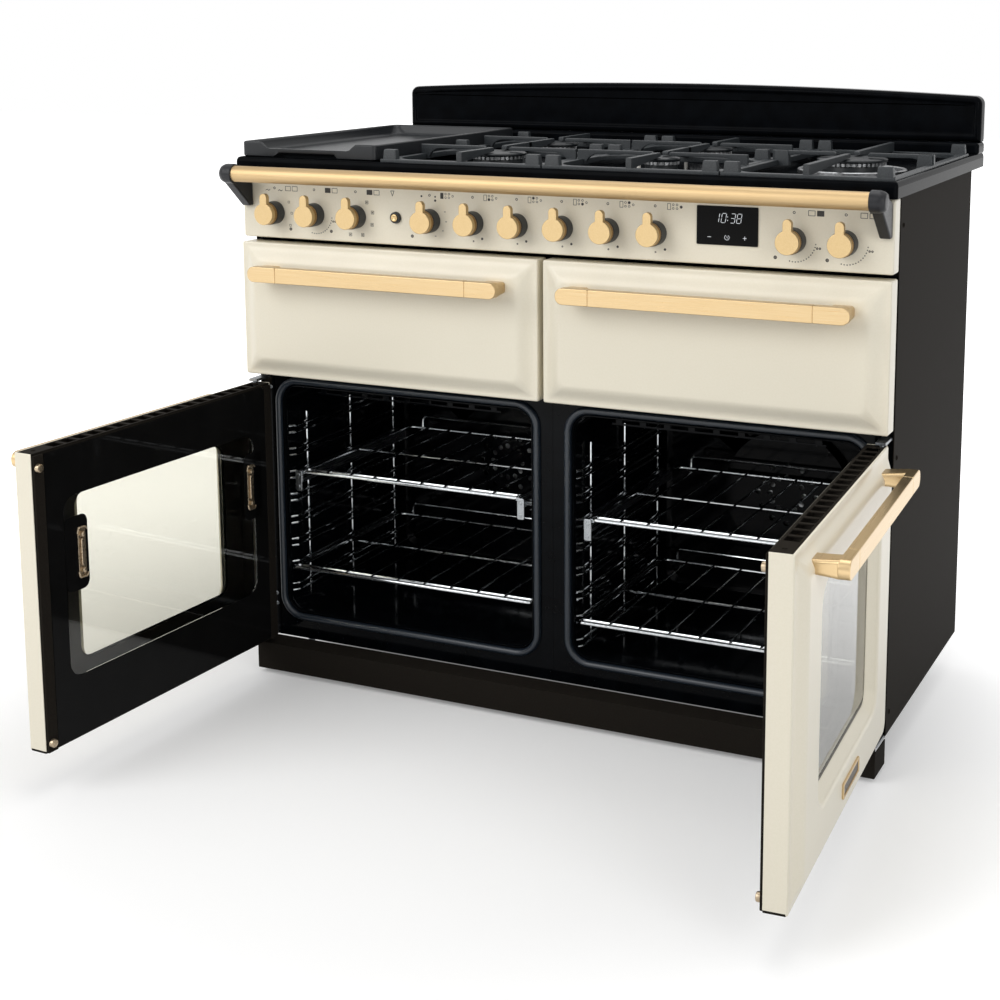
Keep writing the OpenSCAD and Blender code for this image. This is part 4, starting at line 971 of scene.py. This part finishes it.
# The rail's brass is satined: brushed lengthways like the handles, with a wider, softer shine; its colour is
# painted a shade darker than the handles' brass, painted shade that tones down the lamps' shine on it.
rail_brass_with_painted_shade = finish("satined_rail_brass", "#B59B72", "#C0A780", 0.7, rough=(0.44, 0.52), metallic=1.0,
                       stretch=(90, 1, 1), detail=3.0)
make("brass_handrail", [lathe(rail, (0, rail_y, rail_z), axis=0, n=64)], rail_brass_with_painted_shade, "cooker", "satin_brass",
     "handrail")
# Cast zinc with a satin black lacquer: smooth, slightly blue in the light.
cast_black = finish("satin_black_casting", "#15161A", "#1B1C20", 3.0, rough=(0.32, 0.42), bump=0.01,
                    shine=0.3)
head = [(0.05, rail_end), (14.8, rail_end), (16, rail_end + 1.2), (16, rail_end + 13.5),
        (15.4, rail_end + 16.5), (13.2, rail_end + 21.4), (11.6, rail_end + 22.8), (9.5, rail_end + 23.2),
        (0.05, rail_end + 23.5)]
leg = rounded([(rail_y - 11, rail_z - 8), (rail_y + 10, rail_z + 9), (face_y - 0.2, rail_z - 6),
               (face_y - 0.2, rail_z - 56), (face_y - 8, rail_z - 56)], [6, 5, 1, 1, 3], n=5)
brackets = pair(lathe(head, (0, rail_y, rail_z), axis=0, n=48))
brackets += pair(slab(leg, 0, rail_end + 2, rail_end + 19, 2.5))
make("rail_brackets", brackets, cast_black, "cooker", "bracket_grey", "handrail_brackets")


# ---------------------------------------------------------------------------
# Hob: a pressed steel tray, vitreous enamelled, with a raised shoulder along
# the back that carries the arched back guard.
# ---------------------------------------------------------------------------
tray_lo, tray_hi = mm("hob_tray")
hob_z, well_z, hob_y0, hob_y1 = 886.0, 874.0, tray_lo[1], tray_hi[1]
hob_w = tray_hi[0] - tray_lo[0]
deck_mid = (0, (hob_y0 + hob_y1) / 2)
well_mid = (0, 269.5)
roll = np.linspace(0, np.pi / 2, 6)
tray = [lay(ring(hob_w, hob_y1 - hob_y0, 6, deck_mid, n=8), 2, tray_lo[2])]
tray += [lay(ring(hob_w - 2 * i, hob_y1 - hob_y0 - 2 * i, 6, deck_mid, n=8), 2, z)
         for i, z in zip(4.4 * (1 - np.cos(roll)), hob_z - 9 + 9 * np.sin(roll))]
tray += [lay(ring(hob_w - 10 - 2 * i, 531 - 2 * i, r, well_mid, n=8), 2, z)
         for i, z, r in ((0, hob_z - 0.6, 8), (1.2, hob_z - 3, 8), (2, well_z + 3, 9), (5, well_z + 0.4, 12),
                         (9, well_z, 14))]
shoulder = slab(ring(hob_w, hob_y1 - 545, 7, (0, (hob_y1 + 545) / 2), n=8), 2, hob_z - 3, tray_hi[2], 6, 6)
# Enamel of the hob and guard: the same black glass on steel, a little deeper and softer in its shine.
hob_enamel = finish("hob_black_enamel", "#08090B", "#0B0D10", 30.0, rough=(0.1, 0.14), bump=0.01, detail=2.0,
                    shine=0.015)
make("hob_tray_pressing", [skin(tray), shoulder], hob_enamel, "cooker", "black_enamel", "hob_tray")

guard_lo, guard_hi = mm("back_guard")
guard_half = guard_hi[0]
across = np.linspace(1, -1, 61) * (guard_half - 14)
arch = np.stack([across, guard_hi[2] - 14 * (across / guard_half) ** 2], 1)
shoulder_arc = np.radians(np.linspace(0, 88, 8))
corner = np.stack([guard_half - 14 + 14 * np.cos(shoulder_arc), arch[0, 1] - 14 + 14 * np.sin(shoulder_arc)], 1)
foot_z = guard_lo[2]
guard = np.concatenate([[(guard_half, foot_z)], corner, arch, corner[::-1] * (-1, 1), [(-guard_half, foot_z)]])
guard_t = guard_hi[1] - guard_lo[1]
fold = [(16, 3.2), (13.2, 3.1), (12.2, 2.6), (11.5, 1.5), (10.4, 0.5), (8.6, 0), (6.2, 0.3), (3.6, 1.6),
        (1.6, 3.9), (0.4, 6.6), (0, 9.5), (0, guard_t), (1.6, guard_t), (1.6, 9), (5, 5.2), (16, 4.8)]
make("back_guard_pressing", [skin([lay(grow(guard, -i), 1, guard_lo[1] + d) for i, d in fold])], hob_enamel,
     "cooker", "black_enamel", "back_guard")


# ---------------------------------------------------------------------------
# Griddle: a cast aluminium dish, non-stick coated in dark satin grey, with
# rounded inner corners, a lowered pouring lip and a shallow arch at the front.
# ---------------------------------------------------------------------------
# Sprayed non-stick coat on a casting: satin, very finely speckled.
non_stick = finish("sprayed_non_stick_coat", "#1C1E20", "#26282B", 0.9, rough=(0.3, 0.42), bump=0.02,
                   shine=0.3)
griddle_lo, griddle_hi = mm("griddle_plate")
dish_w, dish_d = griddle_hi[0] - griddle_lo[0], griddle_hi[1] - griddle_lo[1]
dish_mid = ((griddle_lo[0] + griddle_hi[0]) / 2, (griddle_lo[1] + griddle_hi[1]) / 2)
dish_z = 892.0


def dish_ring(inset, z, r):
    return lay(ring(dish_w - 2 * inset, dish_d - 2 * inset, r, dish_mid, n=9, m=40), 2, z)


dish = np.array([dish_ring(i, z, r) for i, z, r in (
    (14, griddle_lo[2] + 4, 8), (11, 884, 8), (1.5, 886.6, 7), (0, 888, 7), (0, 908.5, 7), (0.8, 910.2, 7),
    (2.2, 911, 7), (4, 911, 8), (5.6, 910, 10), (6.6, 907, 14), (8, 897, 20), (12, 893, 24), (18, dish_z, 26))])
from_left = dish[..., 0] - (griddle_lo[0] + 42)
from_right = griddle_hi[0] - 44 - dish[..., 0]
ramp = np.clip(np.minimum(from_left, from_right) / 16 + 0.5, 0, 1)
ramp = ramp * ramp * (3 - 2 * ramp) * (dish[..., 1] < griddle_lo[1] + 7)
dish[..., 2] = np.where(dish[..., 2] > 899,
                        dish[..., 2] * (1 - ramp) + (899 + 0.1 * (dish[..., 2] - 899)) * ramp, dish[..., 2])
reach = np.minimum(dish[..., 0] - griddle_lo[0] - 64, griddle_hi[0] - 72 - dish[..., 0])
dish[..., 2] += 6.5 * np.clip(reach / 4, 0, 1) * (dish[..., 1] < griddle_lo[1] + 16) * (dish[..., 2] < 890)
make("griddle_dish", [skin(dish)], non_stick, "cooker", "griddle_iron", "griddle_plate", crease=50)


# ---------------------------------------------------------------------------
# Burners: cast aluminium bodies with milled flame ports, enamelled steel caps,
# a ceramic spark electrode beside each, and a steel ring round the largest.
# ---------------------------------------------------------------------------
# Bare cast aluminium: matt pale grey, slightly mottled by heat.
burner_cast = finish("cast_aluminium_burner", "#8C8E90", "#B2B3B4", 5.0, rough=(0.3, 0.45), metallic=1.0,
                     bump=0.02)
# Matt black enamel on the caps.
cap_enamel = finish("matt_black_cap_enamel", "#14171A", "#1D2124", 1.6, rough=(0.32, 0.42), bump=0.02,
                    shine=0.3)
# Glazed white ceramic of the electrodes.
ceramic = finish("glazed_electrode_ceramic", "#D9D6CE", "#E6E3DB", 6.0, rough=(0.2, 0.3))
grate_x = (-284.0, -1.0, 285.0, 544.0)
grate_y = (8.0, 500.0)
middle_x = [(a + b) / 2 for a, b in zip(grate_x[:-1], grate_x[1:])]
burner_at = [(middle_x[0], 142, 44), (middle_x[0], 366, 35), (middle_x[1], 142, 28), (middle_x[1], 366, 35),
             (middle_x[2], 254, 52)]
cap_top = well_z + 23
bodies, caps, electrodes = [], [], []
for x, y, r in burner_at:
    caps.append(lathe([(r * 0.5, well_z + 0.2), (r * 1.04, well_z + 0.2), (r * 1.06, well_z + 2.4),
                       (r * 0.92, well_z + 4),
                         (r * 0.9, well_z + 12.5)], (x, y, 0), n=48))
    bodies.append(lathe([(r * 0.5, well_z + 12.2), (r, well_z + 12.2), (r, well_z + 16.8),
                         (r * 0.5, well_z + 16.6)],
                        (x, y, 0), teeth=int(r * 0.8), depth=r * 0.09))
    caps.append(lathe([(0.05, cap_top), (r * 0.9, cap_top - 0.3), (r * 1.01, cap_top - 0.9),
                       (r * 1.05, cap_top - 2.2), (r * 1.05, cap_top - 4.4), (r * 1.02, cap_top - 5.7),
                       (0.05, cap_top - 5.8)],
                      (x, y, 0), n=56))
    ex, ey = x - 0.75 * (r + 8), y - 0.75 * (r + 8)
    electrodes.append(lathe([(3, well_z + 0.2), (3, well_z + 11), (2.2, well_z + 13), (0.9, well_z + 13.6),
                             (0.9, well_z + 18), (0.05, well_z + 18.4)], (ex, ey, 0), n=14))
x, y, r = burner_at[4]
bodies.append(lathe([(78, well_z + 0.2), (84, well_z + 0.2), (84, well_z + 5), (82.6, well_z + 6.2),
                     (79.4, well_z + 6.2), (78, well_z + 5), (78, well_z + 0.2)], (x, y, 0), n=72))
make("burner_bodies", bodies, burner_cast, "cooker", "burner_iron", "burners", crease=30)
make("burner_caps", caps, cap_enamel, "cooker", "burner_iron")
make("spark_electrodes", electrodes, ceramic, "cooker", "burner_iron")


# ---------------------------------------------------------------------------
# Pan supports: three cast iron grids, matt enamelled dark grey, on short feet.
# Each has a flat frame with a curved brace in every corner of a cell, raised
# pads at its ends and middle, and four blades that reach in over each burner.
# ---------------------------------------------------------------------------
# Matt vitreous enamel on cast iron: dark grey, grainy like fine sand.
cast_iron = finish("matt_enamelled_cast_iron", "#1F2326", "#363A3D", 1.4, rough=(0.34, 0.5), bump=0.06,
                   shine=0.4)
frame_low, frame_top, grate_top = 881.0, 890.0, 905.0


def rail_of(path, width, low, high, edge=1.3):
    """A cast bar along a flat path: a round-cornered section whose underside and top may change along the
    way."""
    path = np.asarray(path, float)
    along = np.gradient(path, axis=0)
    along /= np.linalg.norm(along, axis=1, keepdims=True)
    low, high = np.broadcast_to(low, len(path)), np.broadcast_to(high, len(path))
    rings = []
    for p, d, a, b in zip(path, along, low, high):
        section = ring(width, b - a, edge, (0, (a + b) / 2), n=3)
        rings.append(np.stack([p[0] - d[1] * section[:, 0], p[1] + d[0] * section[:, 0], section[:, 1]], 1))
    return skin(rings)


def raised_pad(x, y):
    """A block that stands on the frame: its sides lean in a little and its edges are chamfered."""
    sections = ((25, 14, frame_low + 0.5, 1.6), (24, 13, frame_top, 1.6), (21.5, 11.5, 903.8, 1.6),
                (20, 10, grate_top, 2))
    return skin([lay(ring(w, d, r, (x, y), n=4), 2, z) for w, d, z, r in sections])


def pan_support(x0, x1, burners):
    """Frame bars, corner braces, pads and blades of one grid. The blades that run across are flat plates whose
    underside rises from the frame on a quarter circle; the others rise in a straight line towards the
    burner."""
    y0, y1 = grate_y
    xa, xb, ya, yb = x0 + 6.5, x1 - 6.5, y0 + 5.5, y1 - 5.5
    parts = [rail_of([(x, ya - 5), (x, yb + 5)], 11, frame_low, frame_top) for x in (xa, xb)]
    cell = (y1 - y0) / len(burners)
    lines = [ya] + [y0 + k * cell for k in range(1, len(burners))] + [yb]
    parts += [rail_of([(xa - 5, y), (xb + 5, y)], 11, frame_low, frame_top) for y in lines]
    parts += [raised_pad(x, y) for x in (x0 + 17, x1 - 16) for y in (y0 + 7.5, (y0 + y1) / 2, y1 - 7.5)]
    feet = [(x, y, 0) for x in (x0 + 7, x1 - 7) for y in (y0 + 14, y1 - 14)]
    parts += [lathe([(5, well_z + 0.2), (5, frame_low + 1)], foot, n=16) for foot in feet]
    for (bx, by, r), low_y, high_y in zip(burners, lines[:-1], lines[1:]):
        bend = 62.0
        arc = np.linspace(0, np.pi / 2, 9)
        for sx, side_x in ((-1, xa), (1, xb)):
            for sy, side_y in ((-1, low_y), (1, high_y)):
                brace = np.stack([side_x - sx * bend * (1 - np.sin(arc)),
                                  side_y - sy * bend * (1 - np.cos(arc))], 1)
                parts.append(rail_of(brace, 9, frame_low + 0.6, frame_top - 0.4))
        for root, across, tip in ((xa, True, bx), (xb, True, bx), (low_y, False, by), (high_y, False, by)):
            sign = np.sign(root - tip)
            direction = np.array([1, 0]) if across else np.array([0, 1])
            near, far = r * 0.5, abs(root - tip) + 4.5
            if across:
                turn = np.linspace(0, np.pi / 2, 8)
                from_root = np.concatenate([[0, 14], 14 + 24 * (1 - np.cos(turn[1:])),
                                            [far - near - 2, far - near]])
                low = np.concatenate([[frame_low + 0.5] * 2, frame_low + 0.5 + 17.6 * np.sin(turn[1:]),
                                      [frame_low + 18] * 2])
            else:
                from_root = np.array([0, 11, 11.5, far - near - 2, far - near])
                low = np.array([frame_low + 0.5, frame_low + 0.5, frame_top - 1, frame_low + 17.5,
                                frame_low + 18])
            high = np.full(len(low), grate_top)
            high[-1] -= 2
            path = np.array([bx, by]) + sign * direction * (far - from_root)[:, None]
            parts.append(rail_of(path, 7 if across else 9, low, high, 0.9))
    return parts


for k, word in enumerate(("left", "centre", "right")):
    over = [b for b in burner_at if abs(b[0] - middle_x[k]) < 1]
    make(f"{word}_cast_grid", pan_support(grate_x[k], grate_x[k + 1], over), cast_iron, "cooker", "cast_iron",
         f"{word}_pan_support", crease=40)


# ---------------------------------------------------------------------------
# Gas rail, gas elbow and mains terminal box behind the cooker: machined brass
# fittings, and a moulded black box with a screwed lid and a cable gland.
# ---------------------------------------------------------------------------
# Bare machined brass: yellower and duller than the lacquered handles.
plain_brass = finish("bare_machined_brass", "#B08D4A", "#C09E5C", 3.0, rough=(0.3, 0.42), metallic=1.0)
dress(plain_brass, "gas_and_mains_inlets")
back_face = mm("gas_and_mains_inlets")[1][1] - 34
mains_x = -430.0
terminal_box = [bar((mains_x - 60.6, back_face + 0.2, 639.4), (mains_x + 60.6, back_face + 29, 740.6), 2),
                bar((mains_x - 62, back_face + 28.6, 638), (mains_x + 62, back_face + 35, 742), 2.4)]
terminal_box += [lathe([(0.05, back_face + 36.4), (3.4, back_face + 36.2), (4.4, back_face + 35.2),
                        (4.4, back_face + 34)],
                       (mains_x + x, 0, 690 + z), axis=1, n=18) for x in (-50, 50) for z in (-42, 42)]
gland = [lay(ring(2 * r, 2 * r, r, (mains_x, back_face + 17), n=9), 2, z) for r, z in
         ((8.2, 621.2), (12.6, 621.2), (13.7, 622.4), (13.7, 628.5), (15.6, 629.4), (15.6, 636), (13.7, 637),
          (13.7, 639.8), (8.2, 639.8))]
make("mains_terminal_cover", terminal_box + [skin(gland, back_to_start=True)], nylon, "cooker", "satin_black")
